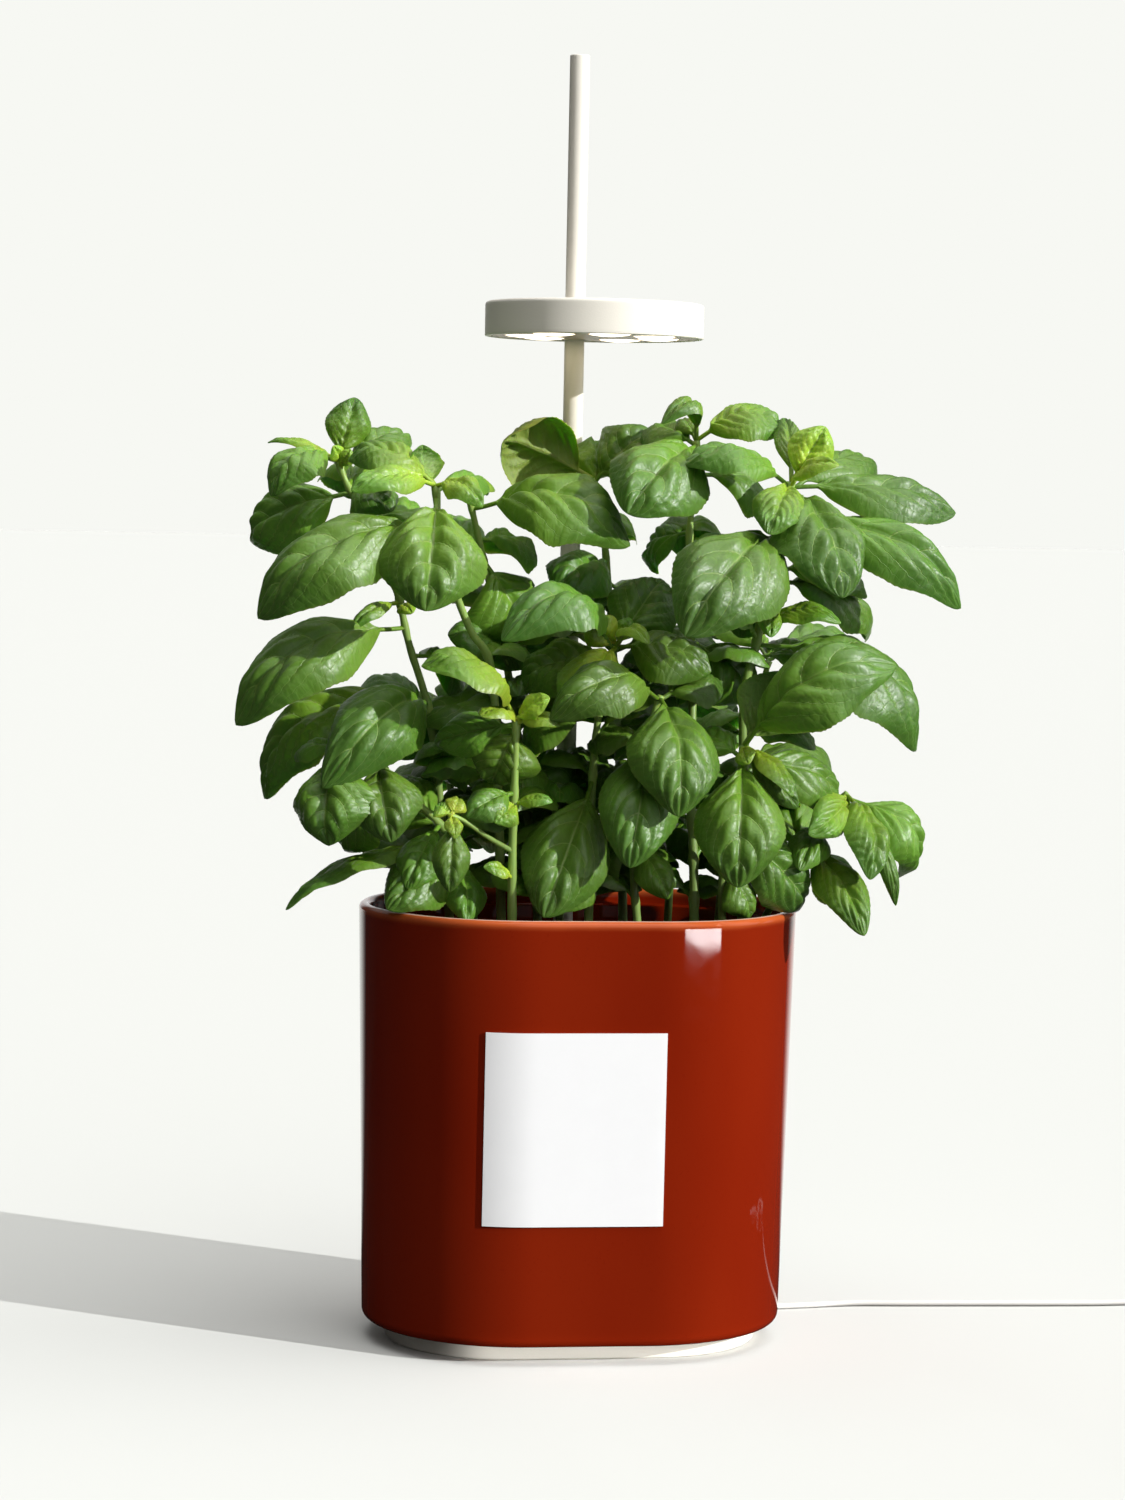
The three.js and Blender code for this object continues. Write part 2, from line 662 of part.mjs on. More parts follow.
function makeBushing() {
  const bottom = HEAD.bottom + BUSHING.lift;
  const sleeve = rod(BUSHING.radius, bottom, bottom + BUSHING.length, POLE_AXIS, ROUND_SIDES.pole);
  addPiece("head_bushing", sleeve.subtract(poleHole()), "bushing");
}

function makeCable() {
  const curve = new THREE.CatmullRomCurve3(CABLE_ROUTE.map((point) => new THREE.Vector3(...point)));
  const section = new THREE.Shape().absarc(0, 0, CABLE_RADIUS, 0, 2 * Math.PI);
  const options = { steps: CABLE_STEPS, extrudePath: curve, curveSegments: ROUND_SIDES.cable / 2 };
  addPiece("cable", solid(new THREE.ExtrudeGeometry(section, options)), "cable");

  const { x, y, middle, width, height, round } = COIL;
  const inner = middle - width / 2;
  const outer = middle + width / 2;
  const top = FLOOR_GAP + height;
  const ring = [
    [inner + round, FLOOR_GAP],
    [outer - round, FLOOR_GAP],
    [outer, FLOOR_GAP + round],
    [outer, top - round],
    [outer - round, top],
    [inner + round, top],
    [inner, top - round],
    [inner, FLOOR_GAP + round],
    [inner + round, FLOOR_GAP],
  ];
  addPiece("cable_coil", solid(turned(ring, ROUND_SIDES.coil).translate(x, y, 0)), "cable");
}

function makePlug() {
  const { start, tail, tailRadius, tipRadius, body, shell } = PLUG;
  const [x, y] = start;
  const middle = FLOOR_GAP + body[2] / 2;
  const lie = ([length, width, thickness], from) =>
    block([width, length, thickness], [x, y - from - length / 2, middle]);
  const sleeve = turned([[0, 0], [tipRadius, 0], [tailRadius, tail + 1], [0, tail + 1]], ROUND_SIDES.gland);
  const tailSolid = solid(sleeve.rotateX(Math.PI / 2).translate(x, y, middle));
  addPiece("plug_body", lie(body, tail).add(tailSolid), "cable");
  addPiece("plug_shell", lie(shell, tail + body[0] + GAP), "steel");
}

/** A closed body through rings of points that all have the same count, with a flat cap at each end. */
function loft(rings) {
  const count = rings[0].length;
  const corners = rings.flat().flatMap((point) => point.toArray());
  const index = [];
  for (let ring = 0; ring < rings.length - 1; ring++) {
    for (let i = 0; i < count; i++) {
      const a = ring * count + i;
      const b = ring * count + ((i + 1) % count);
      index.push(a, b, b + count, a, b + count, a + count);
    }
  }
  const last = (rings.length - 1) * count;
  for (let i = 1; i < count - 1; i++) {
    index.push(0, i + 1, i, last, last + i, last + i + 1);
  }
  const geometry = new THREE.BufferGeometry();
  geometry.setAttribute("position", new THREE.Float32BufferAttribute(corners, 3));
  geometry.setIndex(index);
  return solid(geometry);
}

/** The point at a share of the length of a line through points. */
function pointAlong(points, share) {
  const lengths = points.slice(1).map((point, i) => point.distanceTo(points[i]));
  let rest = share * lengths.reduce((sum, length) => sum + length, 0);
  let i = 0;
  while (i < lengths.length - 1 && rest > lengths[i]) {
    rest -= lengths[i];
    i += 1;
  }
  return points[i].clone().lerp(points[i + 1], Math.min(rest / lengths[i], 1));
}

/** A tapered stem along a line through points. */
function shootSolid(points, [footRadius, tipRadius]) {
  const rings = points.map((point, i) => {
    const before = points[Math.max(i - 1, 0)];
    const after = points[Math.min(i + 1, points.length - 1)];
    const along = after.clone().sub(before).normalize();
    const side = new THREE.Vector3(0, 1, 0).cross(along).normalize();
    const across = along.clone().cross(side);
    const radius = THREE.MathUtils.lerp(footRadius, tipRadius, i / (points.length - 1));
    return Array.from({ length: STEM_SIDES }, (_, k) => {
      const angle = (2 * Math.PI * k) / STEM_SIDES;
      return point
        .clone()
        .addScaledVector(side, radius * Math.cos(angle))
        .addScaledVector(across, radius * Math.sin(angle));
    });
  });
  return loft(rings);
}

/** Half of a blade's width at a share of its length, as a share of its greatest half width. */
function ovate(share) {
  return Math.sin(Math.PI * share ** 0.78) ** 0.72 * (1 - 0.12 * share ** 4);
}

/** One leaf: a narrow stalk that widens into an arched blade, whose edges hang and rise in waves. */
function leafSolid(base, reachArray, width, roll, arch) {
  const reach = new THREE.Vector3(...reachArray);
  const length = reach.length();
  const along = reach.clone().normalize();
  const level = new THREE.Vector3(reach.x, reach.y, 0).normalize();
  const up = new THREE.Vector3(0, 0, 1).addScaledVector(level, LEAF.lean);
  up.addScaledVector(along, -up.dot(along)).normalize();
  up.applyAxisAngle(along, THREE.MathUtils.degToRad(roll));
  const side = along.clone().cross(up);
  const rise = 4 * arch * length;

  const bladeRows = BLADE_ROWS.find(([least]) => length > least)[1];
  const shares = [0, LEAF.petiole, ...bladeRows.map((u) => LEAF.petiole + (1 - LEAF.petiole) * u), 1];
  const rows = shares.map((share, row) => {
    const onBlade = (share - LEAF.petiole) / (1 - LEAF.petiole);
    const isStalk = onBlade <= 0;
    const isTip = share === 1;
    const half = isStalk ? LEAF.stalk : Math.max(LEAF.stalk * (1 - onBlade), (width / 2) * ovate(onBlade));
    const slope = along.clone().addScaledVector(up, 4 * arch * (1 - 2 * share)).normalize();
    const normal = up.clone().addScaledVector(slope, -slope.dot(up)).normalize();
    const middle = base
      .clone()
      .addScaledVector(along, length * share)
      .addScaledVector(up, rise * share * (1 - share));
    const lift = (isStalk ? LEAF.stalkThickness : LEAF.thickness) / 2;
    const hang = (LEAF.fold + (row % 2 ? LEAF.wave : -LEAF.wave)) * half;
    return [lift, -lift].map((height) => {
      const centre = middle.clone().addScaledVector(normal, height);
      const edge = (across) =>
        centre
          .clone()
          .addScaledVector(side, across * half)
          .addScaledVector(normal, -hang);
      if (isTip) return [centre, centre, centre];
      const right = edge(1);
      return [edge(-1), isStalk || length < LEAST_FOLDED ? right : centre, right];
    });
  });
  return solid(bladeGeometry(rows));
}

/**
 * A closed blade from rows of [top, under] lines, each of a left, middle and right point. The middle
 * point of a stalk's line is its right one, and the three points of the tip's line are one point.
 */
function bladeGeometry(rows) {
  const corners = [];
  const addFace = (...face) => {
    if (new Set(face).size === face.length) corners.push(...face.flatMap((point) => point.toArray()));
  };
  for (let i = 1; i < rows.length; i++) {
    for (const side of [0, 1]) {
      const [left, middle, right] = rows[i - 1][side];
      const [nextLeft, nextMiddle, nextRight] = rows[i][side];
      const faces = [
        [left, middle, nextLeft],
        [middle, nextMiddle, nextLeft],
        [middle, right, nextRight],
        [middle, nextRight, nextMiddle],
      ];
      faces.forEach((face) => addFace(...(side === 0 ? face : face.reverse())));
    }
    for (const edge of [0, 2]) {
      const [top, under] = rows[i - 1].map((line) => line[edge]);
      const [nextTop, nextUnder] = rows[i].map((line) => line[edge]);
      const faces = [
        [top, nextTop, nextUnder],
        [top, nextUnder, under],
      ];
      faces.forEach((face) => addFace(...(edge === 0 ? face : face.reverse())));
    }
  }
  const [[topLeft, , topRight], [underLeft, , underRight]] = rows[0];
  addFace(topLeft, underLeft, topRight);
  addFace(topRight, underLeft, underRight);
  const geometry = new THREE.BufferGeometry();
  geometry.setAttribute("position", new THREE.Float32BufferAttribute(corners, 3));
  return geometry;
}

function makeStems() {
  for (const [name, shoots] of Object.entries(STEMS)) {
    const pieces = shoots.flatMap(({ path, radii, leaves }) => {
      const points = path.map((point) => new THREE.Vector3(...point));
      const blades = leaves.map(([at, ...leaf]) => leafSolid(pointAlong(points, at), ...leaf));
      return [shootSolid(points, radii), ...blades];
    });
    addPiece(name, wasm.Manifold.union(pieces), "basil");
  }
}

makeBase();
makePot();
makeLabel();
makeSoil();
makePole();
makeBushing();
makeHeadShell();
makeHeadInside();
makeCable();
makePlug();
makeStems();

export default part;
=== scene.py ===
"""A potted basil plant on its lamp stand, finished around the solids of the construction.

Sizes in the classes are millimetres in the frame of the construction: +Z up, +X to the right, -Y to the
front, the origin under the middle of the base plate. Meshes are made in metres.
"""

from __future__ import annotations

import logging
import math
import random
from collections.abc import Callable, Iterable, Sequence
from dataclasses import dataclass
from enum import Enum
from functools import cache

import bpy
import numpy as np
from mathutils import Matrix, Vector


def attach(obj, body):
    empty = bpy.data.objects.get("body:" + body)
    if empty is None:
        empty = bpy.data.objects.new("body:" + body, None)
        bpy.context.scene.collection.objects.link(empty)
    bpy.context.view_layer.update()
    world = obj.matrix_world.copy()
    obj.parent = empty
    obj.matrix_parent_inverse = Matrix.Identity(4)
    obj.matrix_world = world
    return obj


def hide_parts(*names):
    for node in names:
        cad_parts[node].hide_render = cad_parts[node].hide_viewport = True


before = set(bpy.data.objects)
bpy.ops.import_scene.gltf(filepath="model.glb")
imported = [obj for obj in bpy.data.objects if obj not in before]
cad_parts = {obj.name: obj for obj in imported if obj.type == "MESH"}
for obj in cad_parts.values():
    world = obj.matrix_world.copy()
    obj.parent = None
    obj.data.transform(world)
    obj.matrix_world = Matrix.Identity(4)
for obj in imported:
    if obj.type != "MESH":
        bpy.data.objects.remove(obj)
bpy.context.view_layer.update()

LOG = logging.getLogger("basil")
MM = 0.001
GAP = 0.3
CREASE = 40
TURN = 2 * math.pi
POLE = (0, 48)
EYE = (-242.36, -1659.47, 384.11)

Point = tuple[float, float, float]
Profile = Sequence[tuple[float, float]]
Colour = tuple[float, float, float]
Array = np.ndarray
Piece = bpy.types.Object
Socket = bpy.types.NodeSocket
Node = bpy.types.Node
Tree = bpy.types.NodeTree


def linear(colour: Colour) -> tuple[float, float, float, float]:
    """Turn a display colour into the linear one that a shader takes.

    Args:
        colour: Red, green and blue from 0 to 255.

    Returns:
        Linear red, green and blue, and an alpha of 1.
    """
    shares = (channel / 255 for channel in colour)
    red, green, blue = (s / 12.92 if s <= 0.04045 else ((s + 0.055) / 1.055) ** 2.4 for s in shares)
    return red, green, blue, 1.0


# ---------------------------------------------------------------- meshes


def circle_plan(radius: float, count: int = 96) -> Array:
    """Points of a circle about the origin, anticlockwise seen from above."""
    turn = np.arange(count) * 2 * np.pi / count
    return radius * np.column_stack((np.cos(turn), np.sin(turn)))


def circle(count: int) -> Callable[[float], Array]:
    """The plan of a circle with a number of points."""
    return lambda radius: circle_plan(radius, count)


def oblong_plan(half: float, radius: float, arc_steps: int = 48, side_steps: int = 12) -> Array:
    """Points round a plan with two straight sides and round ends, anticlockwise.

    Args:
        half: Half the distance between the centres of the round ends.
        radius: Radius of the ends.
        arc_steps: Steps round each end.
        side_steps: Steps along each straight side.

    Returns:
        An array of X and Y.
    """
    turn = np.linspace(-np.pi / 2, np.pi / 2, arc_steps + 1)
    right = np.column_stack((half + radius * np.cos(turn), radius * np.sin(turn)))
    slide = np.linspace(half, -half, side_steps + 1)[1:-1]
    back = np.column_stack((slide, np.full_like(slide, radius)))
    return np.vstack((right, back, -right, -back))


def quarter(radius: float, z: float, size: float, start: float, steps: int = 8) -> list[tuple[float, float]]:
    """A quarter round of a size in a profile, centred at a radius and a height, from a start in degrees."""
    turns = [math.radians(start + 90 * i / steps) for i in range(steps + 1)]
    return [(radius + size * math.cos(turn), z + size * math.sin(turn)) for turn in turns]


def soft_side(radius: float, low: float, high: float, soft: float, steps: int) -> Profile:
    """The profile of a disc from its underside to its top, with two soft edges."""
    under = quarter(radius - soft, low + soft, soft, -90, steps)
    return [*under, *quarter(radius - soft, high - soft, soft, 0, steps)]


def mesh_object(
    name: str, points: Array, faces: Iterable[Sequence[int]], crease: float = CREASE
) -> Piece:
    """Make a smooth-shaded object from points in millimetres.

    Args:
        name: The object's name.
        points: An array of X, Y and Z.
        faces: Corner numbers of each face, anticlockwise seen from outside.
        crease: Angle in degrees over which an edge stays sharp.

    Returns:
        The object, linked to the scene.
    """
    mesh = bpy.data.meshes.new(name)
    mesh.from_pydata((np.asarray(points) * MM).tolist(), [], list(faces))
    mesh.update()
    mesh.shade_smooth()
    mesh.set_sharp_from_angle(angle=math.radians(crease))
    made = bpy.data.objects.new(name, mesh)
    bpy.context.collection.objects.link(made)
    return made


def ring_faces(rings: int, count: int, closed: bool = False) -> list[tuple[int, ...]]:
    """Faces between rings of points, with a cap on the first and on the last ring.

    Args:
        rings: How many rings there are.
        count: Points in each ring.
        closed: Whether the last ring joins the first instead of both being capped.

    Returns:
        The corner numbers of each face.
    """
    faces: list[tuple[int, ...]] = []
    for ring in range(rings if closed else rings - 1):
        low, high = ring * count, (ring + 1) % rings * count
        for i in range(count):
            after = (i + 1) % count
            faces.append((low + i, low + after, high + after, high + i))
    if not closed:
        last = (rings - 1) * count
        faces.append(tuple(reversed(range(count))))
        faces.append(tuple(range(last, last + count)))
    return faces


def raised(
    name: str,
    profile: Profile,
    plan: Callable[[float], Array] = circle_plan,
    centre: tuple[float, float] = (0, 0),
    closed: bool = False,
    crease: float = CREASE,
) -> Piece:
    """A body whose plan follows a profile of radius and height.

    Args:
        name: The object's name.
        profile: Points of radius and height, up the outside and down the inside.
        plan: Gives the plan's points for a radius.
        centre: X and Y of the body's axis.
        closed: Whether the profile closes on itself, as on a sleeve.
        crease: Angle in degrees over which an edge stays sharp.

    Returns:
        The object.
    """
    rings = [plan(radius) + np.array(centre) for radius, _ in profile]
    points = np.vstack(
        [np.column_stack((ring, np.full(len(ring), z))) for ring, (_, z) in zip(rings, profile)]
    )
    return mesh_object(name, points, ring_faces(len(rings), len(rings[0]), closed), crease)


def plain(piece: Piece) -> None:
    """Apply a piece's modifiers, so that it is a plain mesh."""
    graph = bpy.context.evaluated_depsgraph_get()
    before = piece.data
    made = bpy.data.meshes.new_from_object(
        piece.evaluated_get(graph), preserve_all_data_layers=True, depsgraph=graph
    )
    piece.modifiers.clear()
    piece.data = made
    made.name = piece.name
    if before.users == 0:
        bpy.data.meshes.remove(before)


def combine(piece: Piece, *others: Piece, operation: str = "DIFFERENCE") -> None:
    """Cut other bodies from a piece, or join them to it, and remove them.

    Args:
        piece: The piece that stays.
        *others: The bodies that cut it or join it.
        operation: DIFFERENCE or UNION.
    """
    for other in others:
        modifier = piece.modifiers.new("combine", "BOOLEAN")
        modifier.operation = operation
        modifier.solver = "EXACT"
        modifier.object = other
        plain(piece)
        bpy.data.objects.remove(other)
    piece.data.set_sharp_from_angle(angle=math.radians(CREASE))


def block(name: str, size: Point, middle: Point, round_: float, steps: int = 4) -> Piece:
    """A box with rounded edges.

    Args:
        name: The object's name.
        size: Its size along X, Y and Z.
        middle: Where its middle lies.
        round_: Radius of its edges.
        steps: Steps round each edge.

    Returns:
        The object.
    """
    signs = np.array([(x, y, z) for z in (-1, 1) for x, y in ((-1, -1), (1, -1), (1, 1), (-1, 1))])
    points = signs * np.array(size) / 2 + np.array(middle)
    made = mesh_object(name, points, ring_faces(2, 4))
    bevel = made.modifiers.new("round", "BEVEL")
    bevel.width = round_ * MM
    bevel.segments = steps
    plain(made)
    return made


def smooth_path(points: Sequence[Point], steps: int) -> Array:
    """A smooth line through hand-placed points.

    Args:
        points: The points that the line passes.
        steps: Steps between each two of them.

    Returns:
        An array of points along the line.
    """
    known = np.array(points, float)
    ends = (2 * known[0] - known[1], 2 * known[-1] - known[-2])
    knots = np.vstack((ends[0], known, ends[1]))
    line = [known[0]]
    for before, start, end, after in zip(knots, knots[1:], knots[2:], knots[3:]):
        for step in range(1, steps + 1):
            t = step / steps
            pull = (end - before) * t + (2 * before - 5 * start + 4 * end - after) * t**2
            bend = (3 * start - before - 3 * end + after) * t**3
            line.append(start + (pull + bend) / 2)
    return np.array(line)


def marks_along(line: Array) -> Array:
    """The length of a line up to each of its points."""
    return np.concatenate(([0], np.cumsum(np.linalg.norm(np.diff(line, axis=0), axis=1))))


def point_at(mark: float, marks: Array, line: Array) -> Array:
    """The point of a line at a mark, where each of its points has a mark."""
    return np.array([np.interp(mark, marks, line[:, axis]) for axis in range(3)])


def ramp(value: Array, width: float) -> Array:
    """A rise from 0 to 1 over a width, which starts where the value is 0."""
    return np.clip(value / width, 0, 1)


def tube(line: Array, radii: Array, sides: int) -> tuple[Array, list[tuple[int, ...]]]:
    """A round tube along a line.

    Args:
        line: Points along its middle.
        radii: Its radius at each of them.
        sides: Points round it.

    Returns:
        Its points and its faces.
    """
    tangents = np.gradient(line, axis=0)
    tangents /= np.linalg.norm(tangents, axis=1)[:, None]
    side = np.cross(tangents[0], (0.3, 0.8, 0.1))
    turn = np.arange(sides) * 2 * np.pi / sides
    rings = []
    for point, tangent, radius in zip(line, tangents, radii):
        side = side - tangent * (side @ tangent)
        side /= np.linalg.norm(side)
        across = np.cross(tangent, side)
        rings.append(point + radius * (np.cos(turn)[:, None] * side + np.sin(turn)[:, None] * across))
    return np.vstack(rings), ring_faces(len(line), sides)


class Body(Enum):
    """The bodies that a piece can move with."""

    ROOT = "root"
    CARRIAGE = "carriage"
    HEAD = "head"


def settle(
    piece: Piece,
    finish: Finish | None,
    nodes: Sequence[str] = (),
    body: Body = Body.ROOT,
) -> Piece:
    """Give a piece its finish, and tie it to its body and to the solids that it stands for.

    Args:
        piece: The finished piece.
        finish: Its finish, or None where it has its materials already.
        nodes: The construction's solids that it stands for.
        body: The body that it moves with.

    Returns:
        The same piece.
    """
    if finish is not None:
        piece.data.materials.clear()
        piece.data.materials.append(finish.material())
    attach(piece, body.value)
    if nodes:
        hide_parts(*nodes)
    LOG.info("%s rides on %s", piece.name, body.value)
    return piece


# ---------------------------------------------------------------- finishes


class Graph:
    """A node tree that is being written, with short calls for the nodes that the finishes use."""

    def __init__(self, tree: Tree) -> None:
        """Start on the tree to write in."""
        self.tree = tree

    def add(self, kind: str, **settings: object) -> Node:
        """Add a node.

        Args:
            kind: The node's type.
            **settings: Values of its own settings.

        Returns:
            The node.
        """
        node = self.tree.nodes.new(kind)
        for name, value in settings.items():
            setattr(node, name, value)
        return node

    def put(self, socket: Socket, value: object) -> None:
        """Link a socket to another, or set its value."""
        if isinstance(value, Socket):
            self.tree.links.new(value, socket)
        else:
            socket.default_value = value

    def fill(self, node: Node, **values: object) -> Node:
        """Fill inputs of a node.

        Args:
            node: The node.
            **values: Its inputs by name, with _ for a space.

        Returns:
            The same node.
        """
        for name, value in values.items():
            self.put(node.inputs[name.replace("_", " ")], value)
        return node

    def math(self, operation: str, first: object, second: object = 0.0) -> Socket:
        """Do a sum on one or two values.

        Args:
            operation: The name of the sum.
            first: A socket or a number.
            second: A socket or a number.

        Returns:
            The result's socket.
        """
        node = self.add("ShaderNodeMath", operation=operation)
        self.put(node.inputs[0], first)
        self.put(node.inputs[1], second)
        return node.outputs[0]

    def vector(self, operation: str, output: str, *values: object) -> Socket:
        """Do a sum on vectors.

        Args:
            operation: The name of the sum.
            output: Value or Vector, whichever holds the result.
            *values: Sockets or vectors.

        Returns:
            The result's socket.
        """
        node = self.add("ShaderNodeVectorMath", operation=operation)
        for socket, value in zip(node.inputs, values):
            self.put(socket, value)
        return node.outputs[output]

    def span(self, value: object, low: float, high: float, start: float = 0, end: float = 1) -> Socket:
        """Carry a value smoothly from one range to another.

        Args:
            value: The value.
            low: Where the first range starts.
            high: Where it ends.
            start: What the start becomes.
            end: What the end becomes.

        Returns:
            The result's socket.
        """
        node = self.add("ShaderNodeMapRange", interpolation_type="SMOOTHSTEP")
        for socket, given in zip(node.inputs, (value, low, high, start, end)):
            self.put(socket, given)
        return node.outputs[0]

    def mix(self, share: object, first: object, second: object, blend: str = "MIX") -> Socket:
        """Mix two colours.

        Args:
            share: How much of the second there is.
            first: A socket or a colour.
            second: A socket or a colour.
            blend: How they are mixed.

        Returns:
            The result's socket.
        """
        node = self.add("ShaderNodeMix", data_type="RGBA", blend_type=blend)
        self.put(node.inputs["Factor"], share)
        self.put(node.inputs[6], first)
        self.put(node.inputs[7], second)
        return node.outputs[2]

    def noise(self, vector: object, scale: float, detail: float = 2) -> Socket:
        """Noise from 0 to 1 at a place, with a number of patches in a unit and of finer layers."""
        node = self.add("ShaderNodeTexNoise")
        return self.fill(node, Vector=vector, Scale=scale, Detail=detail).outputs[0]

    def cells(self, vector: object, scale: float, feature: str = "DISTANCE_TO_EDGE") -> Socket:
        """Distance at a place in a net of cells, with a number of cells in a unit."""
        node = self.add("ShaderNodeTexVoronoi", feature=feature)
        return self.fill(node, Vector=vector, Scale=scale).outputs[0]

    def place(self, stretch: Point = (1, 1, 1)) -> Socket:
        """The place on the object, stretched along its axes."""
        where = self.add("ShaderNodeTexCoord").outputs["Object"]
        if stretch == (1, 1, 1):
            return where
        return self.fill(self.add("ShaderNodeMapping"), Vector=where, Scale=stretch).outputs[0]

    def attribute(self, name: str, output: str = "Fac") -> Socket:
        """The value of one of the mesh's own attributes."""
        return self.add("ShaderNodeAttribute", attribute_name=name).outputs[output]

    def bump(self, height: object, distance: float, strength: float = 1) -> Socket:
        """A normal that follows a height, of which 1 measures a distance in millimetres."""
        node = self.add("ShaderNodeBump")
        return self.fill(node, Height=height, Distance=distance * MM, Strength=strength).outputs[0]

    def use(self, group: Tree, **values: object) -> Node:
        """Place a shared effect, with its inputs by name."""
        return self.fill(self.add("ShaderNodeGroup", node_tree=group), **values)


def effect(name: str, inputs: dict[str, str], outputs: dict[str, str]) -> tuple[Graph, dict, dict]:
    """Start a shared effect as a shader node group.

    Args:
        name: The group's name.
        inputs: Its inputs' names and socket types.
        outputs: Its outputs' names and socket types.

    Returns:
        The graph, the sockets that bring the inputs, and the sockets that take the outputs.
    """
    tree = bpy.data.node_groups.new(name, "ShaderNodeTree")
    for direction, sockets in (("INPUT", inputs), ("OUTPUT", outputs)):
        for title, kind in sockets.items():
            tree.interface.new_socket(name=title, in_out=direction, socket_type=kind)
    source = tree.nodes.new("NodeGroupInput")
    target = tree.nodes.new("NodeGroupOutput")
    given = {title: source.outputs[title] for title in inputs}
    wanted = {title: target.inputs[title] for title in outputs}
    return Graph(tree), given, wanted


@cache
def mottle() -> Tree:
    """Uneven colour: large patches and fine grain that lighten and darken a colour.

    Returns:
        The node group, with inputs Place, Colour, Patch Scale, Grain Scale and Amount.
    """
    graph, given, wanted = effect(
        "Mottled colour",
        {
            "Place": "NodeSocketVector",
            "Colour": "NodeSocketColor",
            "Patch Scale": "NodeSocketFloat",
            "Grain Scale": "NodeSocketFloat",
            "Amount": "NodeSocketFloat",
        },
        {"Colour": "NodeSocketColor", "Grain": "NodeSocketFloat"},
    )
    patches = graph.noise(given["Place"], given["Patch Scale"], 3)
    grain = graph.noise(given["Place"], given["Grain Scale"], 1)
    both = graph.math("ADD", graph.math("MULTIPLY", patches, 0.65), graph.math("MULTIPLY", grain, 0.35))
    swing = graph.math("MULTIPLY", graph.math("SUBTRACT", both, 0.5), given["Amount"])
    level = graph.math("ADD", swing, 1.0)
    scaled = graph.add("ShaderNodeVectorMath", operation="SCALE")
    graph.fill(scaled, Vector=given["Colour"], Scale=level)
    graph.put(wanted["Colour"], scaled.outputs[0])
    graph.put(wanted["Grain"], grain)
    return graph.tree


@cache
def leaf_net() -> Tree:
    """The lines of a blade: its midrib, its arching side veins and the net between them.

    Returns:
        The node group, with inputs Across, Turns and Place. Turns counts the side veins.
    """
    graph, given, wanted = effect(
        "Leaf veins",
        {"Across": "NodeSocketFloat", "Turns": "NodeSocketFloat", "Place": "NodeSocketVector"},
        {"Veins": "NodeSocketFloat", "Net": "NodeSocketFloat"},
    )
    off = graph.math("ABSOLUTE", graph.math("SUBTRACT", graph.math("MULTIPLY", given["Across"], 2), 1))
    side = graph.span(graph.math("PINGPONG", given["Turns"], 0.5), 0.008, 0.042, 1, 0)
    started = graph.span(given["Turns"], -0.12, -0.04)
    inside = graph.math("MULTIPLY", started, graph.span(off, 0.6, 0.95, 1, 0.15))
    midrib = graph.span(off, 0.008, 0.036, 1, 0)
    graph.put(wanted["Veins"], graph.math("MAXIMUM", graph.math("MULTIPLY", side, inside), midrib))
    net = graph.math("MINIMUM", graph.math("MULTIPLY", graph.cells(given["Place"], 0.3), 5), 1)
    graph.put(wanted["Net"], net)
    return graph.tree


@dataclass(frozen=True)
class Finish:
    """A surface that one kind of piece has."""

    name: str
    colour: Colour
    roughness: float = 0.5

    def material(self) -> bpy.types.Material:
        """The material of this finish, made once."""
        made = bpy.data.materials.get(self.name)
        if made is None:
            made = bpy.data.materials.new(self.name)
            made.use_nodes = True
            made.diffuse_color = linear(self.colour)
            shader = made.node_tree.nodes["Principled BSDF"]
            shader.inputs["Roughness"].default_value = self.roughness
            self.dress(Graph(made.node_tree), shader)
        return made

    def dress(self, graph: Graph, shader: Node) -> None:
        """Write the nodes that feed the surface.

        Args:
            graph: The material's graph.
            shader: Its Principled shader.
        """
        graph.put(shader.inputs["Base Color"], linear(self.colour))

    def mottled(self, graph: Graph, amount: float, patch: float, grain: float) -> Node:
        """The finish's colour, which swings by an amount with so many patches and grains in a metre."""
        return graph.use(
            mottle(),
            Place=graph.place(),
            Colour=linear(self.colour),
            Patch_Scale=patch,
            Grain_Scale=grain,
            Amount=amount,
        )


@dataclass(frozen=True)
class Coated(Finish):
    """Sprayed metal or moulded plastic with a fine, even grain."""

    grain: float = 2200
    depth: float = 0.03
    swing: float = 0.1
    patch: float = 14
    uneven: float = 0.06

    def dress(self, graph: Graph, shader: Node) -> None:
        """Write the grain, and the colour that swings a little with it.

        Args:
            graph: The material's graph.
            shader: Its Principled shader.
        """
        mottled = self.mottled(graph, self.swing, self.patch, self.grain)
        grain = mottled.outputs["Grain"]
        smooth, rough = self.roughness - self.uneven, self.roughness + self.uneven
        graph.fill(
            shader,
            Base_Color=mottled.outputs["Colour"],
            Roughness=graph.span(grain, 0.2, 0.8, smooth, rough),
            Normal=graph.bump(grain, self.depth, 0.6),
        )


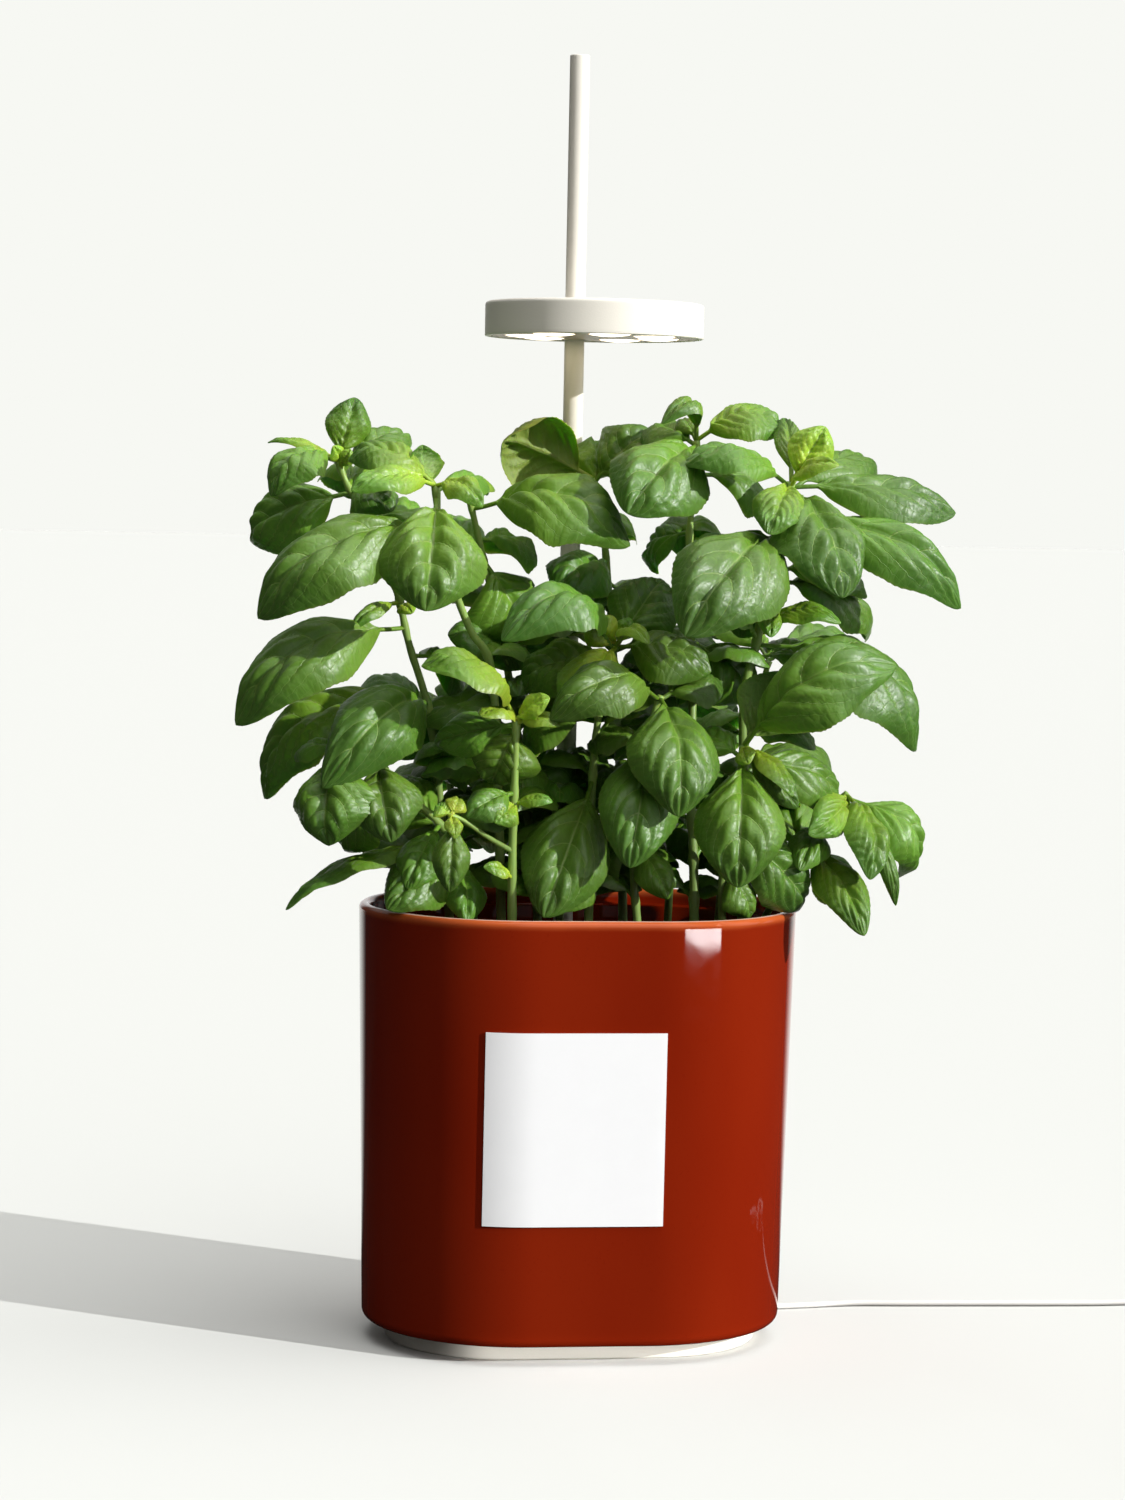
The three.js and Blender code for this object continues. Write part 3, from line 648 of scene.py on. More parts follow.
@dataclass(frozen=True)
class Glaze(Finish):
    """Thick glossy glaze, which breaks to orange where it runs thin over the rim, with a painted highlight
    along the top of the lip.
    """

    thin: Colour = (212, 104, 52)
    deep: Colour = (108, 17, 3)
    # Painted highlight: the pale colour drawn in a thin line along the top of the lip.
    painted_highlight: Colour = (240, 202, 184)
    rim: float = 198.5
    thin_band: tuple[float, float] = (-4, 0.6)
    painted_highlight_band: tuple[float, float] = (-0.4, -0.05)
    wander: float = 1.6

    def near_rim(self, graph: Graph, level: object, band: tuple[float, float]) -> Socket:
        """How far a height lies within a band, which is given in millimetres over the rim."""
        low, high = ((self.rim + over) * MM for over in band)
        return graph.span(level, low, high, 0, 0.8)

    def dress(self, graph: Graph, shader: Node) -> None:
        """Write the glaze's depth of colour, its faint waves and the painted highlight along the top of the
        lip.

        Args:
            graph: The material's graph.
            shader: Its Principled shader.
        """
        place = graph.place()
        height = graph.fill(graph.add("ShaderNodeSeparateXYZ"), Vector=place).outputs["Z"]
        runs = graph.noise(graph.place((1, 1, 0.4)), 16, 2)
        pooled = graph.mix(graph.span(runs, 0.3, 0.8, 0, 0.45), linear(self.colour), linear(self.deep))
        specks = graph.span(graph.noise(place, 900, 1), 0.66, 0.74, 0, 0.25)
        pooled = graph.mix(specks, pooled, linear(self.deep))
        wander = graph.math("MULTIPLY", graph.noise(place, 40, 2), self.wander * MM)
        thin = self.near_rim(graph, graph.math("ADD", height, wander), self.thin_band)
        # Painted highlight: a pale line along the top of the lip, in place of the light that the lip would
        # catch.
        painted_highlight = self.near_rim(graph, height, self.painted_highlight_band)
        smooth, rough = self.roughness - 0.01, self.roughness + 0.02
        graph.fill(
            shader,
            Base_Color=graph.mix(painted_highlight, graph.mix(thin, pooled, linear(self.thin)), linear(self.painted_highlight)),
            Roughness=graph.span(graph.noise(place, 120, 2), 0.3, 0.7, smooth, rough),
            Normal=graph.bump(graph.noise(place, 24, 1), 0.05, 0.5),
            Specular_IOR_Level=0.25,
        )


@dataclass(frozen=True)
class Paper(Finish):
    """Matt coated paper."""

    def dress(self, graph: Graph, shader: Node) -> None:
        """Write the paper's fibres.

        Args:
            graph: The material's graph.
            shader: Its Principled shader.
        """
        mottled = self.mottled(graph, 0.05, 90, 1500)
        fibres = graph.bump(mottled.outputs["Grain"], 0.02, 0.5)
        graph.fill(shader, Base_Color=mottled.outputs["Colour"], Normal=fibres)


@dataclass(frozen=True)
class PottingMix(Finish):
    """Dark crumbly potting mix."""

    pale: Colour = (98, 72, 48)

    def dress(self, graph: Graph, shader: Node) -> None:
        """Write the mix's crumbs and its paler bits.

        Args:
            graph: The material's graph.
            shader: Its Principled shader.
        """
        place = graph.place()
        mottled = self.mottled(graph, 1.3, 60, 620)
        pale = graph.span(graph.noise(place, 210, 3), 0.56, 0.7, 0, 0.8)
        colour = graph.mix(pale, mottled.outputs["Colour"], linear(self.pale))
        crumbs = graph.math("ADD", graph.noise(place, 420, 4), graph.cells(place, 330, "F1"))
        graph.fill(shader, Base_Color=colour, Normal=graph.bump(crumbs, 1.2, 0.9))


@dataclass(frozen=True)
class LightWindow(Finish):
    """Frosted plastic with a light behind it."""

    strength: float = 3.0

    def dress(self, graph: Graph, shader: Node) -> None:
        """Write the window's glow, with its faint frosting.

        Args:
            graph: The material's graph.
            shader: Its Principled shader.
        """
        mottled = self.mottled(graph, 0.12, 220, 1400)
        graph.fill(
            shader,
            Base_Color=mottled.outputs["Colour"],
            Emission_Color=mottled.outputs["Colour"],
            Emission_Strength=self.strength,
            Normal=graph.bump(mottled.outputs["Grain"], 0.03, 0.5),
        )


@dataclass(frozen=True)
class Steel(Finish):
    """Plated sheet steel with drawn lines."""

    def dress(self, graph: Graph, shader: Node) -> None:
        """Write the plating's lines.

        Args:
            graph: The material's graph.
            shader: Its Principled shader.
        """
        lines = graph.noise(graph.place((1, 0.06, 1)), 2600, 2)
        rough = graph.span(lines, 0.2, 0.8, 0.18, 0.38)
        drawn = graph.bump(lines, 0.01, 0.5)
        graph.fill(shader, Base_Color=linear(self.colour), Roughness=rough, Normal=drawn, Metallic=1)


@dataclass(frozen=True)
class Blade(Finish):
    """Living basil leaf: the tint comes with each leaf, the veins follow its own map."""

    pale: Colour = (150, 178, 92)
    under: Colour = (120, 146, 84)

    def dress(self, graph: Graph, shader: Node) -> None:
        """Write the blade's patches, veins, net, underside and fine relief.

        Args:
            graph: The material's graph.
            shader: Its Principled shader.
        """
        tint = graph.attribute("tint", "Color")
        lay = graph.attribute("lay", "Vector")
        under = graph.attribute("under")
        spot = graph.add("ShaderNodeUVMap", uv_map="blade").outputs[0]
        flat = graph.fill(graph.add("ShaderNodeSeparateXYZ"), Vector=spot)
        lines = graph.use(leaf_net(), Across=flat.outputs["X"], Turns=flat.outputs["Y"], Place=lay)
        veins, net = lines.outputs["Veins"], lines.outputs["Net"]
        mottled = graph.use(mottle(), Place=lay, Colour=tint, Patch_Scale=0.07, Grain_Scale=0.9, Amount=0.8)
        base = graph.mix(graph.math("MULTIPLY", veins, 0.42), mottled.outputs["Colour"], linear(self.pale))
        cells = graph.math("MULTIPLY", graph.math("SUBTRACT", 1, net), 0.06)
        base = graph.mix(cells, base, linear(self.pale))
        base = graph.mix(graph.math("MULTIPLY", under, 0.4), base, linear(self.under))
        grain = mottled.outputs["Grain"]
        matt = graph.span(grain, 0.2, 0.8, self.roughness - 0.05, self.roughness + 0.07)
        relief = graph.math("SUBTRACT", graph.math("MULTIPLY", net, 0.3), graph.math("MULTIPLY", veins, 0.8))
        relief = graph.math("ADD", relief, graph.math("MULTIPLY", grain, 0.2))
        graph.fill(
            shader,
            Base_Color=base,
            Roughness=graph.math("ADD", matt, graph.math("MULTIPLY", under, 0.18)),
            Normal=graph.bump(relief, 0.3, 0.7),
            Specular_IOR_Level=0.5,
            Subsurface_Weight=0.45,
            Subsurface_Radius=(0.5, 1.0, 0.2),
            Subsurface_Scale=1.2 * MM,
        )


@dataclass(frozen=True)
class Stalk(Finish):
    """Green stem skin with fine lengthwise lines."""

    def dress(self, graph: Graph, shader: Node) -> None:
        """Write the skin's lines and patches.

        Args:
            graph: The material's graph.
            shader: Its Principled shader.
        """
        tint = graph.attribute("tint", "Color")
        place = graph.place((1, 1, 0.08))
        mottled = graph.use(
            mottle(), Place=place, Colour=tint, Patch_Scale=180.0, Grain_Scale=900.0, Amount=0.6
        )
        graph.fill(
            shader,
            Base_Color=mottled.outputs["Colour"],
            Normal=graph.bump(mottled.outputs["Grain"], 0.2, 0.6),
            Subsurface_Weight=0.15,
            Subsurface_Scale=1.0 * MM,
        )


CREAM = Coated("Cream powder coat", (240, 235, 222), 0.55, grain=1500, depth=0.05, swing=0.08)
RED_GLAZE = Glaze("Rust red glaze", (130, 33, 8), 0.035)
LABEL_PAPER = Paper("Label paper", (246, 246, 246), 0.55)
SOIL_MIX = PottingMix("Potting mix", (44, 30, 21), 0.95)
BARK = PottingMix("Bark bits", (92, 62, 38), 0.9, pale=(150, 112, 74))
PALE_RUBBER = Coated("Pale rubber", (214, 209, 198), 0.72, depth=0.04)
DARK_RUBBER = Coated("Dark rubber", (48, 46, 44), 0.75, depth=0.05)
DARK_PLASTIC = Coated("Dark bearing plastic", (58, 58, 58), 0.5, depth=0.03)
COVER_PLASTIC = Coated("Cover plastic", (196, 172, 140), 0.45, depth=0.03)
BOARD_WHITE = Coated("White circuit board", (236, 236, 230), 0.4, depth=0.02)
FROSTED = LightWindow("Frosted light window", (255, 240, 214), 0.35)
JACKET = Coated("Cable jacket", (228, 226, 219), 0.5, grain=900, depth=0.04)
BAND = Coated("Band plastic", (70, 72, 74), 0.6, grain=1800, depth=0.06)
PLATED = Steel("Plated steel", (186, 190, 194), 0.3)
LEAF_SKIN = Blade("Basil blade", (84, 120, 42), 0.42)
STEM_SKIN = Stalk("Basil stem", (130, 160, 80), 0.45)


# ---------------------------------------------------------------- pot and stand


@dataclass(frozen=True)
class Planter:
    """The oblong glazed pot with its label and its potting mix."""

    half: float = 27
    radius: float = 73
    bottom: float = 8.5
    top: float = 198.5
    taper: float = 4.3
    wall: float = 5.5
    floor: float = 7
    foot_round: float = 4
    ledge_depth: float = 7.5
    ledge_width: float = 3
    ledge_round: float = 0.9
    spigot_hole: float = 8.3
    label_side: tuple[float, float] = (-49.6, 30.4)
    label_height: tuple[float, float] = (63.3, 149.3)
    label_thickness: float = 0.6
    soil_top: float = 180
    soil_crown: float = 182.5
    soil_margin: float = 2.5
    soil_rings: int = 30
    soil_sink: float = 1.2
    grit: float = 0.55
    lump: float = 0.9
    soil_seed: int = 7

    def outside(self, z: float) -> float:
        """Radius of the pot's outside at a height."""
        return self.radius - self.taper * (self.top - z) / (self.top - self.bottom)

    def plan(self, radius: float) -> Array:
        """The pot's plan at a radius of its ends."""
        return oblong_plan(self.half, radius)

    def build_pot(self) -> None:
        """Make the wall with its rounded foot, half-round lip and inner ledge."""
        lip = self.wall / 2
        edge = self.outside(self.top - lip)
        foot = self.bottom + self.foot_round
        ledge = self.top - self.ledge_depth
        floor = self.bottom + self.floor
        soft = self.ledge_round
        inner = self.outside(ledge) - self.wall
        step = inner - self.ledge_width
        profile = [
            *quarter(self.outside(foot) - self.foot_round, foot, self.foot_round, -90),
            *[(self.outside(z), z) for z in np.linspace(foot + 0.5, self.top - lip - 0.5, 16)],
            *quarter(edge - lip, self.top - lip, lip, 0),
            *quarter(edge - lip, self.top - lip, lip, 90)[1:],
            (inner, ledge + soft),
            (inner - soft * 0.3, ledge + soft * 0.3),
            (inner - soft, ledge),
            *quarter(step + soft, ledge - soft, soft, 90, 4),
            (self.outside(floor) - self.wall - self.ledge_width, floor),
        ]
        pot = raised("pot_glazed", profile, self.plan)
        hole = [(self.spigot_hole, 0), (self.spigot_hole, floor + self.wall)]
        combine(pot, raised("hole", hole, centre=POLE))
        settle(pot, RED_GLAZE, ["pot"])

    def build_label(self) -> None:
        """Make the sheet that follows the front of the pot."""
        columns, rows = 64, 20
        x = np.linspace(*self.label_side, columns + 1)
        z = np.linspace(*self.label_height, rows + 1)
        past = np.clip(np.abs(x) - self.half, 0, None)
        layers = []
        for offset in (GAP + self.label_thickness, GAP):
            radius = self.outside(z)[:, None] + offset
            y = -np.sqrt(radius**2 - past[None, :] ** 2)
            grid = np.stack(np.broadcast_arrays(x[None, :], y, z[:, None]), axis=-1)
            layers.append(grid.reshape(-1, 3))
        wide = columns + 1
        under = wide * (rows + 1)
        faces = []
        for i in range(rows):
            for j in range(columns):
                a = i * wide + j
                faces.append((a, a + 1, a + wide + 1, a + wide))
                faces.append(tuple(under + k for k in (a, a + wide, a + wide + 1, a + 1)))
        rim = [*range(wide), *range(2 * wide - 1, under, wide), *range(under - 2, under - wide - 1, -1)]
        rim += [*range(under - 2 * wide, 0, -wide)]
        faces += [(b, a, under + a, under + b) for a, b in zip(rim, rim[1:] + rim[:1])]
        label = mesh_object("label_sheet", np.vstack(layers), faces)
        settle(label, LABEL_PAPER, ["label"])

    def build_soil(self) -> Piece:
        """The body of potting mix, with a lumpy crown.

        Returns:
            The soil.
        """
        bottom = self.bottom + self.floor + GAP
        sides = [(self.outside(z) - self.wall - self.ledge_width - GAP, z) for z in (bottom, self.soil_top)]
        reach = sides[1][0]
        count = len(self.plan(reach))
        rings = [np.column_stack((self.plan(radius), np.full(count, z))) for radius, z in sides]
        rng = np.random.default_rng(self.soil_seed)
        for step in range(1, self.soil_rings + 1):
            share = 1 - step / (self.soil_rings + 0.5)
            plan = oblong_plan(self.half * share, reach * share)
            crown = self.soil_top + (self.soil_crown - self.soil_top) * (1 - share**2)
            grit = rng.normal(0, self.grit, count)
            lumps = grit + self.lump * np.sin(plan[:, 0] / 7) * np.cos(plan[:, 1] / 6)
            rings.append(np.column_stack((plan, crown - self.soil_sink + lumps)))
        soil = mesh_object("soil_bed", np.vstack(rings), ring_faces(len(rings), count), crease=70)
        return settle(soil, SOIL_MIX, ["soil"])

    def build(self) -> None:
        """Make the pot and what it holds."""
        self.build_pot()
        self.build_label()
        soil = self.build_soil()
        loose = Crumbs("soil_crumbs", radius=0.9, density=15000, seed=3, finish=SOIL_MIX)
        bark = Crumbs("soil_bark", radius=1.7, density=2200, seed=8, finish=BARK)
        for crumbs in (loose, bark):
            crumbs.build(soil, self.soil_top - self.soil_margin)


@dataclass(frozen=True)
class Crumbs:
    """Loose crumbs scattered over the top of the soil."""

    name: str
    radius: float
    density: float
    seed: int
    finish: Finish

    def tree(self) -> Tree:
        """The node tree that scatters crumbs over a surface.

        Returns:
            The tree, with named inputs for the density, the size, the seed and the finish.
        """
        tree = bpy.data.node_groups.new("Scatter crumbs", "GeometryNodeTree")
        sockets = {"Geometry": "Geometry", "Density": "Float", "Radius": "Float", "Seed": "Int"}
        sockets["Finish"] = "Material"
        for name, kind in sockets.items():
            tree.interface.new_socket(name=name, in_out="INPUT", socket_type=f"NodeSocket{kind}")
        tree.interface.new_socket(name="Geometry", in_out="OUTPUT", socket_type="NodeSocketGeometry")
        graph = Graph(tree)
        source = graph.add("NodeGroupInput").outputs
        target = graph.add("NodeGroupOutput").inputs
        points = graph.add("GeometryNodeDistributePointsOnFaces")
        crumb = graph.add("GeometryNodeMeshIcoSphere")
        turn = graph.add("FunctionNodeRandomValue", data_type="FLOAT_VECTOR")
        size = graph.add("FunctionNodeRandomValue", data_type="FLOAT_VECTOR")
        placed = graph.add("GeometryNodeInstanceOnPoints")
        real = graph.add("GeometryNodeRealizeInstances")
        dressed = graph.add("GeometryNodeSetMaterial")
        graph.fill(points, Mesh=source["Geometry"], Density=source["Density"], Seed=source["Seed"])
        graph.fill(crumb, Subdivisions=1, Radius=source["Radius"])
        graph.fill(turn, Max=(TURN,) * 3, Seed=source["Seed"])
        graph.fill(size, Min=(0.35, 0.4, 0.3), Max=(1.25, 1.1, 0.9), Seed=source["Seed"])
        graph.fill(
            placed,
            Points=points.outputs["Points"],
            Instance=crumb.outputs["Mesh"],
            Rotation=turn.outputs["Value"],
            Scale=size.outputs["Value"],
        )
        graph.fill(real, Geometry=placed.outputs["Instances"])
        graph.fill(dressed, Geometry=real.outputs["Geometry"], Material=source["Finish"])
        graph.put(target["Geometry"], dressed.outputs["Geometry"])
        return tree

    def build(self, ground: Piece, least: float) -> None:
        """Scatter the crumbs.

        Args:
            ground: The piece whose upper faces they lie on.
            least: Height over which a face counts.
        """
        mesh = ground.data
        points = np.array([v.co for v in mesh.vertices]) / MM
        faces = [
            tuple(p.vertices) for p in mesh.polygons if p.normal.z > 0.2 and p.center.z > least * MM
        ]
        piece = mesh_object(self.name, points, faces)
        tree = self.tree()
        modifier = piece.modifiers.new("scatter", "NODES")
        modifier.node_group = tree
        values = {
            "Density": self.density,
            "Radius": self.radius * MM,
            "Seed": self.seed,
            "Finish": self.finish.material(),
        }
        for item in tree.interface.items_tree:
            if item.in_out == "INPUT" and item.name in values:
                modifier[item.identifier] = values[item.name]
        plain(piece)
        settle(piece, self.finish)


@dataclass(frozen=True)
class Stand:
    """The base plate, the pole that rises from it, and the cable's sleeve."""

    half: float = 32
    radius: float = 53
    top: float = 8.2
    edge: float = 1
    socket_floor: float = 3
    spigot: tuple[float, float, float] = (8, 2, 15.2)
    pole_radius: float = 4.6
    pole_top: float = 587
    pole_edge: float = 0.6
    seal: tuple[float, float, float] = (10.8, 15.8, 19)
    seal_edge: float = 0.6
    gland_start: Point = (60, 43, 4.2)
    gland_length: float = 15
    gland_root: float = 6
    gland_radii: tuple[float, float] = (3, 1.9)

    def sleeve(self, name: str, grow: float, ribs: int) -> Piece:
        """The tapered sleeve that the cable leaves by.

        Args:
            name: The object's name.
            grow: How much larger it is all over.
            ribs: How many ribs it has.

        Returns:
            The sleeve, lying along +X.
        """
        root, tip = self.gland_radii
        profile = [(root + grow, -grow), (root + grow, self.gland_root - 0.3)]
        taper = np.linspace(self.gland_root, self.gland_length, 4 * ribs + 2)
        for i, z in enumerate(taper):
            share = (z - self.gland_root) / (self.gland_length - self.gland_root)
            groove = 0.35 if i % 4 in (2, 3) and ribs > 1 else 0
            profile.append((root + (tip - root) * share + grow - groove, z))
        profile.append((profile[-1][0] - 0.3, self.gland_length + grow))
        made = raised(name, profile, circle(40), crease=60)
        turned = Matrix.Rotation(math.pi / 2, 4, "Y")
        made.data.transform(Matrix.Translation(Vector(self.gland_start) * MM) @ turned)
        return made

    def build(self) -> None:
        """Make the base, the pole, its seal and the sleeve."""
        sides = soft_side(self.radius, 0, self.top, self.edge, 5)
        slab = raised("base_coated", sides, lambda radius: oblong_plan(self.half, radius))
        radius, low, high = self.spigot
        spigot = raised("spigot", [(radius, low), (radius, high - 0.5), (radius - 0.5, high)], centre=POLE)
        bore_radius = self.pole_radius + GAP
        bore = raised("bore", [(bore_radius, self.socket_floor), (bore_radius, high + 1)], centre=POLE)
        combine(slab, spigot, operation="UNION")
        combine(slab, bore, self.sleeve("recess", GAP, 1))
        settle(slab, CREAM, ["base_plate"])

        pole = raised(
            "pole_coated",
            [
                (self.pole_radius, self.socket_floor + GAP),
                *[(self.pole_radius, z) for z in np.linspace(20, self.pole_top - 20, 24)],
                *quarter(
                    self.pole_radius - self.pole_edge, self.pole_top - self.pole_edge, self.pole_edge, 0, 5
                ),
            ],
            circle(64),
            POLE,
        )
        settle(pole, CREAM, ["pole"])

        radius, low, high = self.seal
        ring = [*soft_side(radius, low, high, self.seal_edge, 4), (bore_radius, high), (bore_radius, low)]
        seal = raised("pole_seal_ring", ring, centre=POLE, closed=True)
        settle(seal, DARK_RUBBER, ["pole_seal"])
        settle(self.sleeve("cable_sleeve", 0, 4), PALE_RUBBER, ["cable_gland"])


# ---------------------------------------------------------------- lamp


@dataclass(frozen=True)
class LampHead:
    """The disc-shaped grow lamp that slides and turns on the pole."""

    radius: float = 49.6
    bottom: float = 455.5
    height: float = 15.6
    edge: float = 1.6
    wall: float = 2.4
    turn: float = 0.08
    reach: float = 40.6
    pole_hole: float = 4.9
    bushing: tuple[float, float, float] = (6, 456.1, 470.5)
    bushing_edge: float = 0.3
    boss: float = 8.6
    cover: tuple[float, float, float] = (46.9, 0.4, 2)
    board: tuple[float, float] = (43, 1.6)
    chip: tuple[float, float] = (5, 0.9)
    lens_count: int = 7
    lens_radius: float = 9.4
    lens_ring: float = 31
    lens_spacing: float = 0.84
    lens_height: float = 3.2
    lens_dome: float = 1

    @property
    def axis(self) -> tuple[float, float]:
        """X and Y of the disc's own axis."""
        return self.reach * math.sin(self.turn), POLE[1] - self.reach * math.cos(self.turn)

    def lens_axes(self) -> list[tuple[float, float]]:
        """Axes of the light windows, on an arc that keeps clear of the pole.

        Returns:
            X and Y of each axis.
        """
        middle = (self.lens_count - 1) / 2
        angles = [self.turn - math.pi / 2 + (i - middle) * self.lens_spacing for i in range(self.lens_count)]
        x, y = self.axis
        return [(x + self.lens_ring * math.cos(a), y + self.lens_ring * math.sin(a)) for a in angles]

    def rod(self, radius: float, low: float, high: float, axis: tuple[float, float]) -> Piece:
        """A plain upright rod, to join or to cut with."""
        return raised("rod", [(radius, low), (radius, high)], circle(64), axis)

    def build_shell(self) -> None:
        """Make the housing: a shallow disc, open below, with the boss that runs on the pole."""
        top = self.bottom + self.height
        inner = self.radius - self.wall
        lip = 0.5
        shell = raised(
            "head_shell_coated",
            [
                (inner - 2, top - self.wall),
                (inner, top - self.wall - 2),
                (inner, self.bottom + lip),
                (inner + lip, self.bottom),
                *quarter(self.radius - lip, self.bottom + lip, lip, -90, 4),
                *[(self.radius, z) for z in np.linspace(self.bottom + 2, top - self.edge - 1, 4)],
                *quarter(self.radius - self.edge, top - self.edge, self.edge, 0, 8),
                *[(share * self.radius, top) for share in (0.9, 0.6, 0.3)],
            ],
            circle(160),
            self.axis,
        )
        boss = self.rod(self.boss, self.bottom + self.cover[1], top - self.edge / 2, POLE)
        combine(shell, boss, operation="UNION")
        combine(shell, self.rod(self.bushing[0] + GAP, 0, top + 10, POLE))
        settle(shell, CREAM, ["head_shell"], Body.HEAD)

    def build_inside(self) -> None:
        """Make the cover with its windows, the board with its chips, and the lenses."""
        radius, recess, thickness = self.cover
        low, high = self.bottom + recess, self.bottom + recess + thickness
        edge = [(radius - 0.3, low), (radius, low + 0.3), (radius, high), (radius - 1, high)]
        cover = raised("head_cover_plate", edge, circle(128), self.axis)
        board_radius, board_thickness = self.board
        board_low = self.bottom + self.height - self.wall - GAP - board_thickness
        board = self.rod(board_radius, board_low, board_low + board_thickness, self.axis)
        board.name = "led_board_plate"
        for plate in (cover, board):
            combine(plate, self.rod(self.boss + GAP, 0, low + 20, POLE))
        for i, spot in enumerate(self.lens_axes(), 1):
            combine(cover, self.rod(self.lens_radius + GAP, 0, low + 20, spot))
            size, drop = self.chip
            chip = block("chip", (size, size, drop * 2), (*spot, board_low), 0.3, 2)
            combine(board, chip, operation="UNION")
            self.build_lens(i, spot, low)
        settle(cover, COVER_PLASTIC, ["head_cover"], Body.HEAD)
        settle(board, BOARD_WHITE, ["led_board"], Body.HEAD)

    def build_lens(self, number: int, spot: tuple[float, float], low: float) -> None:
        """Make one light window: a shallow dome with a fine step round it.

        Args:
            number: Its number along the arc.
            spot: X and Y of its axis.
            low: Height of the dome's edge.
        """
        shares = np.linspace(0.12, 0.86, 7)
        dome = [(self.lens_radius * s, low - self.lens_dome * (1 - s**2)) for s in shares]
        profile = [
            *dome,
            (self.lens_radius * 0.9, low - 0.3),
            (self.lens_radius * 0.92, low),
            (self.lens_radius - 0.2, low),
            (self.lens_radius, low + 0.2),
            (self.lens_radius, low + self.lens_height),
        ]
        lens = raised(f"light_window_{number}", profile, circle(48), spot)
        settle(lens, FROSTED, [f"lens_{number}"], Body.HEAD)

    def build_bushing(self) -> None:
        """Make the bearing sleeve that slides on the pole."""
        radius, low, high = self.bushing
        outside = soft_side(radius, low, high, self.bushing_edge, 3)
        ring = [(self.pole_hole, low), *outside, (self.pole_hole, high)]
        sleeve = raised("head_bushing_sleeve", ring, circle(64), POLE, closed=True)
        settle(sleeve, DARK_PLASTIC, ["head_bushing"], Body.CARRIAGE)

    def build(self) -> None:
        """Make every piece of the lamp."""
        self.build_shell()
        self.build_inside()
        self.build_bushing()


# ---------------------------------------------------------------- cable


@dataclass(frozen=True)
class Turn:
    """A stretch of winding that ends at a radius and a height."""

    radius: float
    height: float
    turns: float = 1.0


